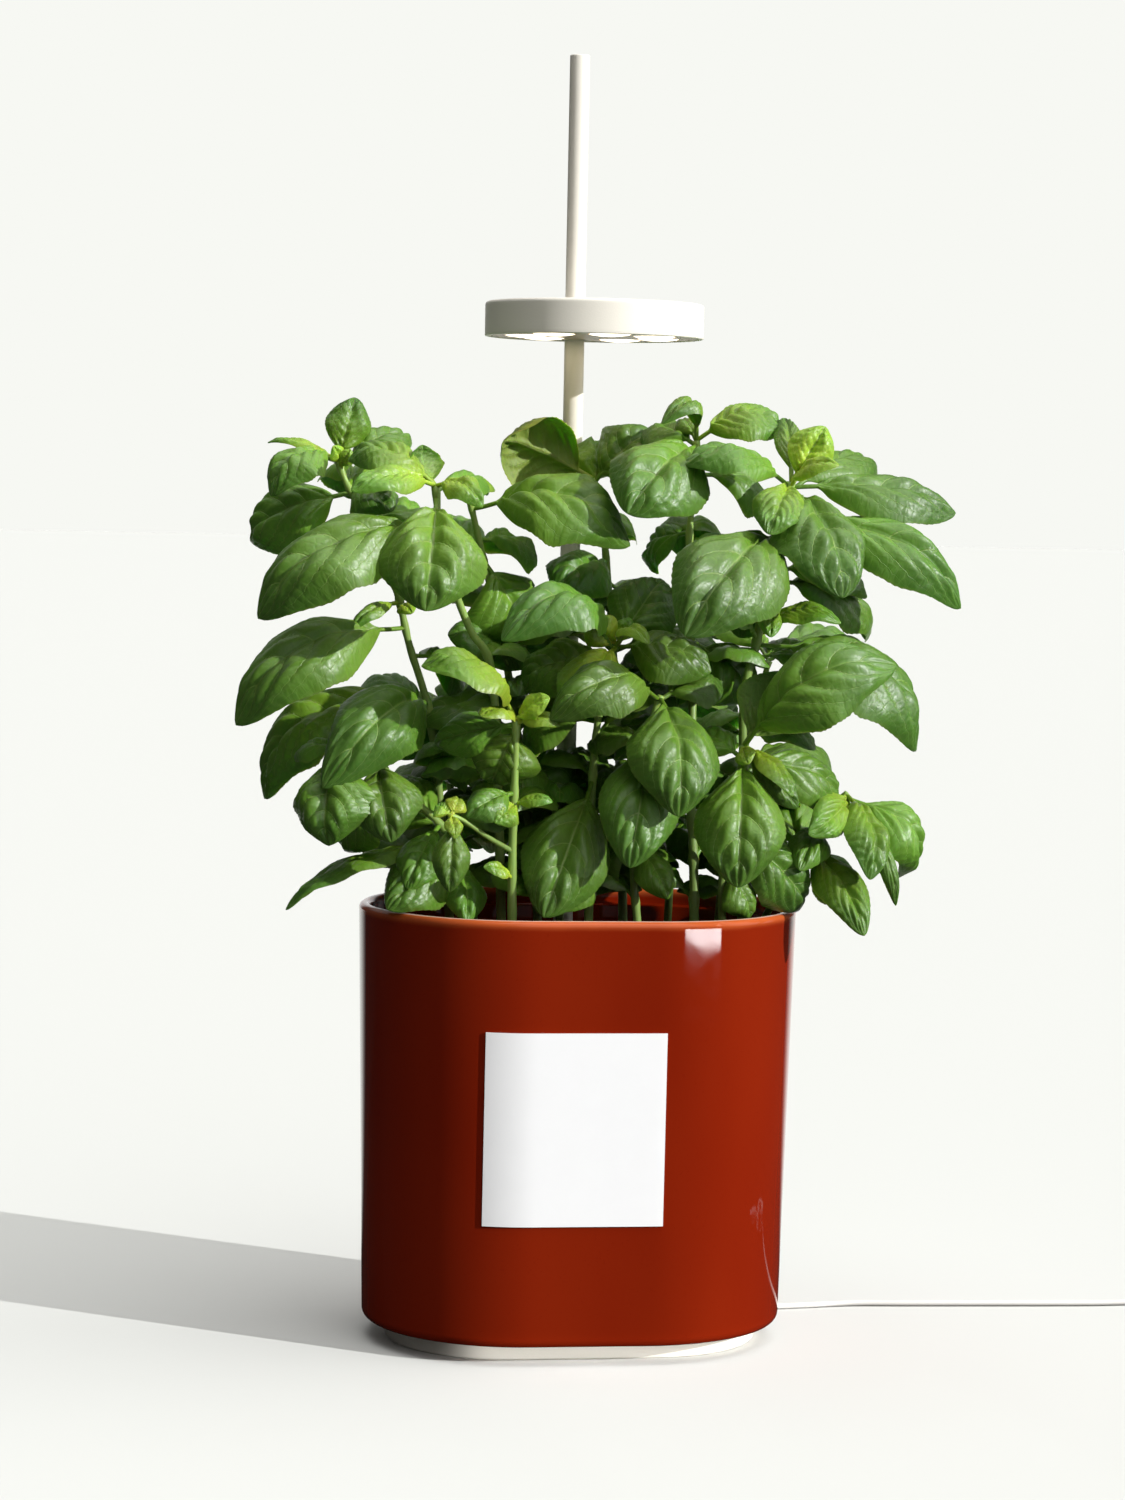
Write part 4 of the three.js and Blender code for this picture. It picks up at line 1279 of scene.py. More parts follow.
@dataclass(frozen=True)
class Lead:
    """The thin cable from the base, its coil with a band round it, and the plug on its end."""

    radius: float = 1.4
    route: tuple[Point, ...] = (
        (74.6, 43, 4.2),
        (82, 43, 4.2),
        (89, 43.1, 3.4),
        (97, 43.3, 2.1),
        (106, 43.4, 1.5),
        (118, 44.9, 1.45),
        (142, 48.2, 1.45),
        (166, 47, 1.45),
        (190, 45.8, 1.45),
        (215, 44.6, 1.45),
        (240, 43.4, 1.45),
        (264, 42.9, 1.45),
        (290, 44.1, 1.6),
        (308, 45.6, 1.85),
    )
    coil: tuple[float, float] = (326, 26.6)
    column: float = 2.93
    inmost: float = 11
    floor: float = 0.45
    steps: int = 24
    end: tuple[Point, ...] = ((343.9, 15.6, 3.9), (342.1, 12.4, 3.8), (341.4, 9.4, 3.75))
    plug: Point = (341.4, 10, 3.75)
    tail: tuple[float, float, float] = (9, 1.8, 2.6)
    body: Point = (15, 26, 7.4)
    shell: Point = (12, 12.5, 4.5)
    groove: Point = (9, 1, 0.7)
    groove_places: tuple[float, ...] = (-6, -3, 0, 3, 6)
    tongue: Point = (10, 7.6, 1.8)
    window: Point = (1.9, 2.2, 1.2)
    window_places: tuple[float, ...] = (-2.6, 2.6)
    coil_start: float = 95
    band_angle: float = 205
    band_room: float = 1.9
    band_corner: float = 2.2
    band_thickness: float = 0.2
    band_width: float = 3.4
    band_low: float = 0.03

    def winding(self) -> list[Turn]:
        """The turns of the coil: layers that go in and out, and the way down the outside.

        Returns:
            Each turn's end.
        """
        radii = [self.inmost + i * self.column for i in range(4)]
        heights = [self.floor + self.radius + i * self.column for i in range(4)]
        layers = [radii[::-1], radii[:3], radii[2::-1], radii[:3]]
        turns = [Turn(radius, z) for layer, z in zip(layers, heights) for radius in layer]
        return [*turns[1:], Turn(radii[2], heights[3], 0.75), Turn(radii[3], heights[1], 0.56)]

    def line(self) -> Array:
        """The cable's middle from the sleeve to the plug.

        Returns:
            Points along it.
        """
        loose = smooth_path(self.route, 3)
        place = Turn(self.inmost + 3 * self.column, self.floor + self.radius)
        angle = math.radians(self.coil_start)
        wound = []
        for turn in self.winding():
            count = round(self.steps * turn.turns)
            for i in range(count):
                share = i / count
                share = share * share * (3 - 2 * share) if turn.turns >= 1 else share
                radius = place.radius + (turn.radius - place.radius) * share
                height = place.height + (turn.height - place.height) * share
                at = angle - TURN * turn.turns * i / count
                x, y = self.coil
                wound.append((x + radius * math.cos(at), y + radius * math.sin(at), height))
            angle -= TURN * turn.turns
            place = turn
        return np.vstack((loose, wound, np.array(self.end)))

    def build_cable(self) -> tuple[Piece, float]:
        """The cable as a round curve.

        Returns:
            The cable and its length in metres.
        """
        line = self.line() * MM
        curve = bpy.data.curves.new("cable_line", "CURVE")
        curve.dimensions = "3D"
        curve.bevel_depth = self.radius * MM
        curve.bevel_resolution = 3
        curve.use_fill_caps = True
        spline = curve.splines.new("POLY")
        spline.points.add(len(line) - 1)
        spline.points.foreach_set("co", np.column_stack((line, np.ones(len(line)))).ravel())
        cable = bpy.data.objects.new("cable_run", curve)
        bpy.context.collection.objects.link(cable)
        length = float(np.linalg.norm(np.diff(line, axis=0), axis=1).sum())
        return cable, length

    def build_band(self) -> Piece:
        """The band that holds the coil together.

        Returns:
            The band.
        """
        x, y = self.coil
        low, high = self.band_low, self.floor + 4 * self.column + 0.5
        inner = self.inmost - self.band_room
        outer = self.inmost + 3 * self.column + self.band_room
        path = [(inner, low + 0.2), (outer, low + 0.2), (outer, high), (inner, high)]
        corners = [np.array(p) for p in path]
        rounded: list[Array] = []
        for before, corner, after in zip(corners[-1:] + corners[:-1], corners, corners[1:] + corners[:1]):
            back = (before - corner) / np.linalg.norm(before - corner)
            ahead = (after - corner) / np.linalg.norm(after - corner)
            for share in np.linspace(0, 1, 6):
                rounded.append(corner + self.band_corner * ((1 - share) ** 2 * back + share**2 * ahead))
        thick, wide = self.band_thickness, self.band_width
        loop = np.array(rounded)
        middle = loop.mean(axis=0)
        angle = math.radians(self.band_angle)
        out = np.array((math.cos(angle), math.sin(angle), 0))
        side = np.array((-math.sin(angle), math.cos(angle), 0))
        rings = []
        for point in loop:
            away = (point - middle) / np.linalg.norm(point - middle)
            for offset, slide in ((thick, -wide), (thick, wide), (-thick, wide), (-thick, -wide)):
                r, z = point + away * offset
                z = max(z, low)
                rings.append(np.array((x, y, 0)) + out * r + side * slide + np.array((0, 0, z)))
        faces = [tuple(reversed(face)) for face in ring_faces(len(loop), 4, closed=True)]
        return settle(mesh_object("coil_band", np.array(rings), faces), BAND)

    def build_plug(self) -> list[Piece]:
        """The plug: a moulded body with a ribbed tail, and its metal shell.

        Returns:
            The body and the shell.
        """
        x, y, z = self.plug
        length, tip, root = self.tail
        profile = []
        for i, along in enumerate(np.linspace(0, length, 18)):
            groove = 0.3 if i % 4 in (2, 3) else 0
            profile.append((tip + (root - tip) * along / length - groove, along))
        profile.append((root, length + 1))
        tail = raised("tail", profile, circle(32), crease=60)
        turned = Matrix.Rotation(math.pi / 2, 4, "X")
        tail.data.transform(Matrix.Translation(Vector(self.plug) * MM) @ turned)
        start = y - length
        middle = start - self.body[1] / 2
        body = block("plug_moulding", self.body, (x, middle, z), 1.8, 5)
        grip = [(x, middle + slide, z + self.body[2] / 2) for slide in self.groove_places]
        combine(body, *[block("groove", self.groove, place, 0.2, 2) for place in grip])
        combine(body, tail, operation="UNION")
        front = start - self.body[1] - GAP
        shell = block("plug_metal_shell", self.shell, (x, front - self.shell[1] / 2, z), 0.5, 3)
        mouth = (self.shell[0] - 0.9, 9, self.shell[2] - 0.9)
        tongue = block("tongue", self.tongue, (x, front - 6.6, z + 0.9), 0.1, 1)
        combine(shell, block("mouth", mouth, (x, front - self.shell[1] + 3.5, z), 0.3, 2))
        combine(shell, tongue, operation="UNION")
        for slot in self.window_places:
            spot = (x + slot, front - 6, z + self.shell[2] / 2)
            combine(shell, block("window", self.window, spot, 0.1, 1))
        return [
            settle(body, JACKET, ["plug_body"]),
            settle(shell, PLATED, ["plug_shell"]),
        ]

    def build(self) -> None:
        cable, length = self.build_cable()
        settle(cable, JACKET, ["cable", "cable_coil"])
        pieces = [*self.build_plug(), self.build_band()]
        LOG.info("the cable is %.3f m long", length)


# ---------------------------------------------------------------- plant


@dataclass(frozen=True)
class Growth:
    """What a leaf's age does to it: its colours, its puckers, its veins and its fold."""

    base: Colour
    tip: Colour
    pucker: float
    vein_step: float
    fold: float


class Age(Enum):
    """How old a leaf is."""

    BUD = Growth((172, 190, 54), (130, 164, 42), 1.2, 0.14, 0.2)
    YOUNG = Growth((160, 184, 46), (94, 138, 38), 1.3, 0.14, 0.25)
    GROWING = Growth((134, 166, 40), (80, 122, 36), 1.25, 0.155, 0.32)
    GROWN = Growth((106, 144, 36), (74, 112, 34), 1.0, 0.19, 0.42)
    # Painted light: the old leaves' tints are lighter than the grown leaves', to stand in for light in the
    # shaded inside of the plant.
    OLD_PAINTED_LIGHT = Growth((106, 150, 38), (84, 128, 34), 0.9, 0.2, 0.45)
    OLIVE = Growth((142, 156, 46), (122, 138, 38), 1.0, 0.18, 0.3)


@dataclass(frozen=True)
class Leaf:
    """One leaf: where it joins its shoot, its reach to the tip, its width, roll, arch and age."""

    at: float
    reach: Point
    width: float
    roll: float
    arch: float
    age: Age
    inner: bool = False


@dataclass(frozen=True)
class Shoot:
    """A shoot: its centre line, its radius at the foot and at the tip, and its leaves."""

    path: list[Point]
    radii: tuple[float, float]
    leaves: list[Leaf]


def shoot(path: list[Point], radii: tuple[float, float], *leaves: Leaf) -> Shoot:
    """A shoot with its leaves."""
    return Shoot(path, radii, list(leaves))


STEMS: dict[str, Shoot] = {
    "stem_front_centre": shoot(
        [(-36, -46, 152), (-36, -46, 186), (-37, -50, 228), (-37, -53, 254), (-37, -55, 285)],
        (2.4, 1.5),
        Leaf(1, (-44, -18, 24), 36, -18, 0.2, Age.YOUNG),
        Leaf(1, (-18, -21, 3), 15, -13, 0.1, Age.BUD),
        Leaf(1, (13, -12, 11), 13, 68, 0.12, Age.BUD),
        Leaf(0.99, (18, -11, 0), 11, 35, 0.2, Age.BUD),
        Leaf(0.98, (-9, 13, -26), 34, -133, 0.09, Age.GROWN),
        Leaf(0.99, (-34, 19, -10), 20, -80, 0.12, Age.OLD_PAINTED_LIGHT),
        Leaf(0.72, (-10, -14, -7), 15, -40, 0.15, Age.YOUNG),
        Leaf(0.72, (16, -8, 2), 9, 35, 0.15, Age.YOUNG),
        Leaf(0.76, (-22, -11, -10), 19, -40, 0.14, Age.GROWN),
        Leaf(0.47, (-14, -9, 6), 10, -40, 0.14, Age.YOUNG),
    ),
    "stem_left_front": shoot(
        [
            (-37, -16, 152), (-37, -16, 186), (-40, -20, 247), (-45, -28, 305), (-55, -32, 323),
            (-63, -36, 341), (-70, -40, 363), (-73, -42, 387),
        ],
        (2.4, 1.5),
        Leaf(0.98, (-8, -38, -49), 48, -10, 0.13, Age.GROWN),
        Leaf(0.93, (-80, -16, -42), 44, -35, 0.2, Age.GROWN),
        Leaf(1, (-39, -24, -3), 19, -30, 0.14, Age.YOUNG),
        Leaf(1, (-38, 8, 11), 28, -20, 0.2, Age.GROWING),
        Leaf(1, (-6, 4, 18), 19, -20, 0.15, Age.YOUNG),
        Leaf(1, (19, -16, -9), 17, 25, 0.25, Age.YOUNG),
        Leaf(0.99, (25, 28, -1), 18, 20, 0.2, Age.OLD_PAINTED_LIGHT),
    ),
    "stem_left_tall": shoot(
        [
            (-58, 5, 152), (-58, 5, 186), (-64, 2, 245), (-70, -2, 285), (-80, -6, 316),
            (-85, -8, 336), (-90, -9, 348), (-100, -8, 371), (-109, -6, 387), (-113, -5, 397),
        ],
        (2.3, 1.3),
        Leaf(1, (8, 9, 29), 20, -142, 0.12, Age.GROWING),
        Leaf(1, (-31, 12, 8), 9, -13, 0.12, Age.YOUNG),
        Leaf(1, (-31, -20, -16), 29, -10, 0.28, Age.GROWN),
        Leaf(0.98, (32, 15, 15), 26, 25, 0.22, Age.OLD_PAINTED_LIGHT),
        Leaf(1, (-3, -7, 7), 8, -124, 0.18, Age.BUD),
        Leaf(0.99, (4, -7, 8), 8, 130, 0.15, Age.BUD),
        Leaf(0.94, (-44, 22, -22), 38, -60, 0.16, Age.OLD_PAINTED_LIGHT),
        Leaf(0.94, (16, -20, -8), 25, 20, 0.16, Age.GROWN),
        Leaf(0.95, (6, 58, -5), 30, 5, 0.2, Age.OLD_PAINTED_LIGHT),
        Leaf(0.88, (34, 24, -3), 34, 20, 0.18, Age.OLD_PAINTED_LIGHT),
        Leaf(0.73, (-23, -14, -12), 9, -30, 0.15, Age.YOUNG),
        Leaf(0.73, (7, 12, 5), 9, 30, 0.15, Age.YOUNG),
        Leaf(0.72, (4, -12, -2), 9, 25, 0.15, Age.BUD),
        Leaf(0.68, (-77, -26, -42), 40, -35, 0.25, Age.GROWN),
        Leaf(0.63, (22, 46, -20), 24, 35, 0.2, Age.OLD_PAINTED_LIGHT),
        Leaf(0.54, (-51, -62, -33), 38, -37, 0.28, Age.GROWN),
        Leaf(0.54, (-72, 12, -44), 42, -35, 0.3, Age.GROWING),
        Leaf(0.53, (-26, 50, 2), 22, -10, 0.2, Age.OLD_PAINTED_LIGHT),
        Leaf(0.51, (-29, 26, -6), 20, -15, 0.1, Age.OLD_PAINTED_LIGHT),
    ),
    "stem_left_low": shoot(
        [
            (-48, -9, 152), (-48, -9, 186), (-56, -14, 219), (-67, -22, 237), (-87, -34, 254),
            (-96, -40, 266), (-113, -46, 271),
        ],
        (2.2, 1.2),
        Leaf(0.88, (4, -26, -34), 32, 20, 0.18, Age.GROWN),
        Leaf(1, (-6, -16, -41), 39, 14, 0.16, Age.GROWN),
        Leaf(0.99, (-19, 22, -7), 17, -25, 0.2, Age.OLD_PAINTED_LIGHT),
        Leaf(0.77, (-22, 18, -30), 26, -80, 0.2, Age.OLD_PAINTED_LIGHT),
        Leaf(0.49, (-76, -19, -26), 23, 6, 0.11, Age.GROWING),
        Leaf(0.58, (-16, -22, -27), 22, -20, 0.12, Age.OLD_PAINTED_LIGHT),
        Leaf(0.46, (-34, -29, -21), 28, -40, 0.14, Age.GROWN),
        Leaf(0.44, (0, -28, -24), 20, -10, 0.12, Age.OLD_PAINTED_LIGHT),
        Leaf(0.54, (-25, 36, 17), 30, -44, 0.22, Age.OLD_PAINTED_LIGHT),
    ),
    "stem_centre": shoot(
        [(2, -20, 152), (2, -20, 186), (2, -22, 248), (4, -23, 284), (9, -24, 311), (12, -24, 318)],
        (2.3, 1.3),
        Leaf(1, (-15, -6, 11), 17, -113, 0.16, Age.BUD),
        Leaf(1, (5, -2, 12), 10, -75, 0.15, Age.YOUNG),
        Leaf(0.99, (10, -29, 3), 12, 14, 0.24, Age.BUD),
        Leaf(0.99, (-26, -34, -30), 28, -25, 0.14, Age.YOUNG),
        Leaf(0.97, (-41, 5, -16), 34, -44, 0.17, Age.GROWING),
        Leaf(0.99, (25, 26, 30), 32, 36, 0.13, Age.GROWN),
        Leaf(0.99, (41, -14, -10), 36, 30, 0.15, Age.GROWN),
        Leaf(0.97, (-55, -39, 7), 40, -18, 0.34, Age.GROWN),
        Leaf(0.8, (-27, 35, -17), 34, -40, 0.2, Age.OLD_PAINTED_LIGHT),
        Leaf(0.81, (40, 33, 4), 30, 25, 0.2, Age.OLD_PAINTED_LIGHT),
        Leaf(0.62, (-26, -36, -57), 38, -30, 0.1, Age.GROWN),
        Leaf(0.36, (-21, -35, -11), 20, -40, 0.2, Age.GROWN),
    ),
    "stem_centre_back": shoot(
        [
            (-16, 16, 152), (-16, 16, 186), (-23, 14, 244), (-35, 8, 313), (-46, 2, 354),
            (-53, -4, 379), (-55, -5, 385),
        ],
        (2.3, 1.4),
        Leaf(0.96, (69, -21, -14), 45, 35, 0.26, Age.GROWN),
        Leaf(0.86, (17, 11, -37), 42, 88, 0.15, Age.OLD_PAINTED_LIGHT),
        Leaf(0.86, (-23, 48, 9), 34, -15, 0.2, Age.OLD_PAINTED_LIGHT),
        Leaf(0.9, (26, 20, -9), 36, 15, 0.16, Age.OLD_PAINTED_LIGHT),
        Leaf(0.98, (8, 30, 4), 16, 10, 0.2, Age.GROWING),
        Leaf(0.67, (-28, -14, 10), 30, -43, 0.17, Age.OLD_PAINTED_LIGHT),
        Leaf(0.66, (30, 35, 5), 32, 25, 0.2, Age.OLD_PAINTED_LIGHT),
        Leaf(0.5, (-38, 18, -13), 38, -45, 0.2, Age.OLD_PAINTED_LIGHT),
        Leaf(0.5, (18, -16, -29), 36, 40, 0.2, Age.OLD_PAINTED_LIGHT),
    ),
    "stem_top_centre": shoot(
        [(25, 26, 152), (25, 26, 186), (23, 28, 244), (18, 30, 318), (12, 30, 373), (7, 29, 392)],
        (2.3, 1.4),
        Leaf(1, (-44, -17, 16), 38, 60, 0.14, Age.OLIVE),
        Leaf(0.99, (28, -1, 24), 36, 60, 0.2, Age.GROWN),
        Leaf(0.98, (1, 19, 22), 24, 17, 0.16, Age.GROWING),
        Leaf(0.83, (-27, -30, -12), 34, -25, 0.2, Age.OLD_PAINTED_LIGHT),
        Leaf(0.79, (24, 20, -16), 32, 35, 0.18, Age.OLD_PAINTED_LIGHT),
        Leaf(0.9, (7, 36, -5), 30, 20, 0.25, Age.OLD_PAINTED_LIGHT),
        Leaf(0.61, (-18, 11, -20), 34, -15, 0.22, Age.OLD_PAINTED_LIGHT),
        Leaf(0.61, (37, 11, -4), 34, 25, 0.22, Age.OLD_PAINTED_LIGHT),
    ),
    "stem_right_tall": shoot(
        [
            (48, -34, 152), (48, -34, 186), (47, -34, 222), (46, -30, 249), (48, -16, 293),
            (48, -4, 338), (48, 0, 372), (51, 0, 397), (50, 0, 410),
        ],
        (2.4, 1.3),
        Leaf(1, (-19, -18, 7), 15, -20, 0.5, Age.GROWING),
        Leaf(1, (40, -4, 4), 32, 25, 0.24, Age.GROWING),
        Leaf(1, (-6, 13, 9), 11, -10, 0.18, Age.GROWN),
        Leaf(0.99, (-39, -50, -31), 45, -30, 0.14, Age.GROWN),
        Leaf(0.99, (-21, 22, 3), 28, -15, 0.2, Age.GROWN),
        Leaf(0.94, (34, 22, -16), 36, 30, 0.2, Age.OLD_PAINTED_LIGHT),
        Leaf(0.94, (-6, 36, -3), 20, -6, 0.21, Age.OLD_PAINTED_LIGHT),
        Leaf(0.84, (-12, 34, -14), 26, -55, 0.16, Age.OLD_PAINTED_LIGHT),
        Leaf(0.83, (9, 51, -11), 30, 0, 0.25, Age.OLD_PAINTED_LIGHT),
        Leaf(0.7, (-17, 40, -5), 30, -15, 0.22, Age.OLD_PAINTED_LIGHT),
        Leaf(0.65, (28, 7, -27), 36, 65, 0.2, Age.OLD_PAINTED_LIGHT),
        Leaf(0.44, (-20, 20, -20), 34, -65, 0.2, Age.OLD_PAINTED_LIGHT),
        Leaf(0.34, (23, 35, -23), 26, 55, 0.2, Age.OLD_PAINTED_LIGHT),
    ),
    "stem_right_front_tall": shoot(
        [
            (72, -24, 152), (72, -24, 186), (71, -25, 248), (70, -25, 294), (75, -25, 319),
            (78, -26, 337), (83, -29, 366), (88, -32, 392),
        ],
        (2.6, 1.5),
        Leaf(0.99, (-50, -7, 9), 34, -11, 0.18, Age.GROWN),
        Leaf(1, (15, 0, 25), 24, 82, 0.08, Age.BUD),
        Leaf(0.99, (18, -19, 10), 14, 39, 0.19, Age.BUD),
        Leaf(1, (2, 30, 29), 13, 5, 0.12, Age.GROWING),
        Leaf(0.99, (-16, -35, -21), 24, -17, 0.14, Age.YOUNG),
        Leaf(0.99, (16, -42, -48), 46, -2, 0.14, Age.GROWN),
        Leaf(0.99, (78, 7, -10), 34, 30, 0.08, Age.GROWN),
        Leaf(0.98, (49, 43, 10), 24, 20, 0.16, Age.GROWN),
        Leaf(0.92, (80, -14, -36), 34, 42, 0.22, Age.GROWN),
        Leaf(0.9, (-52, -59, -44), 50, -30, 0.18, Age.GROWN),
        Leaf(0.83, (47, 12, -11), 25, 30, 0.18, Age.OLD_PAINTED_LIGHT),
        Leaf(0.81, (54, 41, -27), 32, 45, 0.2, Age.OLD_PAINTED_LIGHT),
        Leaf(0.78, (-1, -20, -17), 12, -5, 0.1, Age.YOUNG),
        Leaf(0.72, (33, -21, 4), 15, 30, 0.2, Age.YOUNG),
        Leaf(0.7, (-26, -15, 5), 16, -20, 0.3, Age.OLD_PAINTED_LIGHT),
        Leaf(0.69, (75, -1, -47), 52, 25, 0.24, Age.GROWN),
        Leaf(0.66, (42, 49, -15), 34, 25, 0.2, Age.OLD_PAINTED_LIGHT),
    ),
    "stem_right_front": shoot(
        [
            (59, -45, 152), (59, -45, 186), (58, -47, 214), (62, -50, 242), (64, -52, 264),
            (65, -53, 275),
        ],
        (2.2, 1.4),
        Leaf(0.98, (-6, -27, -58), 39, -4, 0.12, Age.GROWN),
        Leaf(0.99, (0, -14, -6), 10, 34, 0.11, Age.BUD),
        Leaf(1, (19, -18, -21), 15, 6, 0.11, Age.YOUNG),
        Leaf(0.99, (24, -6, -26), 15, 64, 0.09, Age.GROWING),
        Leaf(0.99, (63, -23, 39), 42, 56, 0.28, Age.GROWN),
        Leaf(1, (19, -5, 33), 30, 85, 0.13, Age.GROWING),
        Leaf(0.95, (49, 24, -20), 28, 60, 0.18, Age.OLD_PAINTED_LIGHT),
        Leaf(0.69, (36, 19, -37), 30, 85, 0.18, Age.GROWN),
        Leaf(0.95, (-19, 22, 6), 26, -20, 0.2, Age.OLD_PAINTED_LIGHT),
        Leaf(0.54, (12, 0, -21), 20, 60, 0.15, Age.OLD_PAINTED_LIGHT),
    ),
    "stem_right_low": shoot(
        [
            (83, -9, 152), (83, -9, 186), (92, -10, 206), (102, -14, 225), (114, -22, 246),
            (119, -24, 252),
        ],
        (2, 1.2),
        Leaf(0.97, (30, 11, -37), 31, 55, 0.4, Age.OLD_PAINTED_LIGHT),
        Leaf(0.99, (4, -35, -35), 26, -27, 0.17, Age.GROWING),
        Leaf(0.98, (-24, -38, -14), 19, -65, 0.14, Age.YOUNG),
        Leaf(0.79, (-15, -35, -14), 19, -20, 0.18, Age.OLD_PAINTED_LIGHT),
        Leaf(0.71, (18, -44, -35), 23, 15, 0.16, Age.GROWING),
        Leaf(0.7, (22, 0, -26), 26, 60, 0.2, Age.OLD_PAINTED_LIGHT),
        Leaf(0.97, (22, -17, -47), 10, 35, 0.2, Age.GROWN),
        Leaf(0.66, (-4, 37, 23), 28, -5, 0.2, Age.OLD_PAINTED_LIGHT),
    ),
    "stem_centre_right": shoot(
        [
            (23, -32, 152), (23, -32, 186), (20, -33, 220), (23, -35, 258), (27, -37, 287),
            (30, -38, 296),
        ],
        (2.1, 1.3),
        Leaf(0.98, (-53, -30, -7), 32, -35, 0.3, Age.GROWN),
        Leaf(0.99, (2, -44, -49), 42, -5, 0.2, Age.GROWN),
        Leaf(0.88, (-14, -36, -57), 35, -15, 0.14, Age.GROWN),
        Leaf(0.98, (31, 18, 5), 26, 25, 0.2, Age.GROWN),
        Leaf(0.53, (-12, 23, -18), 24, -65, 0.2, Age.OLD_PAINTED_LIGHT),
        Leaf(0.53, (13, -13, -23), 18, 35, 0.15, Age.OLD_PAINTED_LIGHT),
    ),
    "stem_back_left": shoot(
        [(-47, 35, 152), (-47, 35, 186), (-53, 40, 233), (-59, 44, 279)],
        (2.1, 1.3),
        Leaf(0.99, (-23, -34, -15), 32, -15, 0.2, Age.OLD_PAINTED_LIGHT),
        Leaf(0.99, (20, 28, 13), 30, 26, 0.23, Age.GROWN),
        Leaf(0.99, (-13, 35, 3), 28, -21, 0.18, Age.GROWN),
        Leaf(0.78, (-19, 38, -13), 34, 5, 0.22, Age.GROWN),
        Leaf(0.78, (33, -2, -9), 30, 10, 0.2, Age.OLD_PAINTED_LIGHT),
        Leaf(0.6, (-30, 4, -10), 34, -10, 0.2, Age.OLD_PAINTED_LIGHT),
        Leaf(0.57, (17, 49, -10), 30, -17, 0.24, Age.GROWN),
    ),
    "stem_back_centre": shoot(
        [(-5, 23, 152), (-5, 23, 186), (-8, 20, 235), (-13, 20, 290)],
        (2.1, 1.3),
        Leaf(0.99, (-16, 20, -9), 28, 5, 0.2, Age.GROWN),
        Leaf(0.77, (27, 18, -3), 32, -5, 0.22, Age.GROWN),
        Leaf(0.77, (-23, 54, -18), 34, 5, 0.22, Age.GROWN),
        Leaf(0.53, (-21, 65, -12), 34, -15, 0.22, Age.GROWN),
        Leaf(0.51, (23, -11, -10), 28, 30, 0.2, Age.OLD_PAINTED_LIGHT),
    ),
    "stem_back_right": shoot(
        [(49, 43, 152), (49, 43, 186), (51, 46, 233), (48, 50, 289), (45, 52, 317)],
        (2.1, 1.3),
        Leaf(1, (-16, 39, 2), 30, -18, 0.21, Age.GROWN),
        Leaf(1, (25, 26, -6), 30, 0, 0.17, Age.GROWN),
        Leaf(0.8, (-21, 36, -20), 34, 3, 0.18, Age.GROWN),
        Leaf(0.8, (36, 34, -11), 34, -10, 0.22, Age.GROWN),
        Leaf(0.6, (-6, 53, -13), 36, 5, 0.22, Age.GROWN),
        Leaf(0.6, (19, -27, -11), 32, 10, 0.2, Age.OLD_PAINTED_LIGHT),
        Leaf(0.43, (24, 59, -15), 34, -10, 0.22, Age.GROWN),
    ),
    "stem_back_far_right": shoot(
        [(69, 21, 152), (69, 21, 186), (74, 24, 235), (84, 28, 281), (92, 30, 309)],
        (2.1, 1.3),
        Leaf(1, (45, 24, 4), 32, 9, 0.2, Age.GROWN),
        Leaf(1, (-17, 53, 8), 30, 7, 0.17, Age.GROWN),
        Leaf(0.83, (35, 62, -15), 36, -10, 0.22, Age.GROWN),
        Leaf(0.83, (-25, 22, -17), 32, -5, 0.2, Age.OLD_PAINTED_LIGHT),
        Leaf(0.67, (50, 34, -12), 36, -5, 0.24, Age.GROWN),
        Leaf(0.49, (29, 74, -16), 34, -10, 0.22, Age.GROWN),
    ),
}
SIDE_SHOOTS: dict[str, Shoot] = {
    "stem_front_centre": shoot(
        [(-37, -50, 227), (-49, -58, 234), (-61, -64, 242), (-67, -66, 244)],
        (1.2, 0.9),
        Leaf(0.98, (-6, 4, 4), 12, -27, 0.12, Age.YOUNG),
        Leaf(0.98, (4, 6, 7), 10, 38, 0.18, Age.BUD),
        Leaf(0.95, (-2, -9, -32), 16, -10, 0.12, Age.GROWN),
        Leaf(0.98, (1, -10, -9), 8, 5, 0.2, Age.BUD),
    ),
}


@dataclass(frozen=True)
class Skin:
    """One leaf's or shoot's part of a stem's mesh, with what the finishes read at each point.

    The points are millimetres and the faces count from its own first point. `lay` is the place on the
    flattened blade in millimetres, `flat` the place across it and the count of side veins, `under` is 1 on
    the underside, and `rim` marks the blade's edge.
    """

    points: Array
    faces: Sequence[Sequence[int]]
    finish: int
    tint: Array
    lay: Array
    flat: Array
    under: Array
    rim: Array


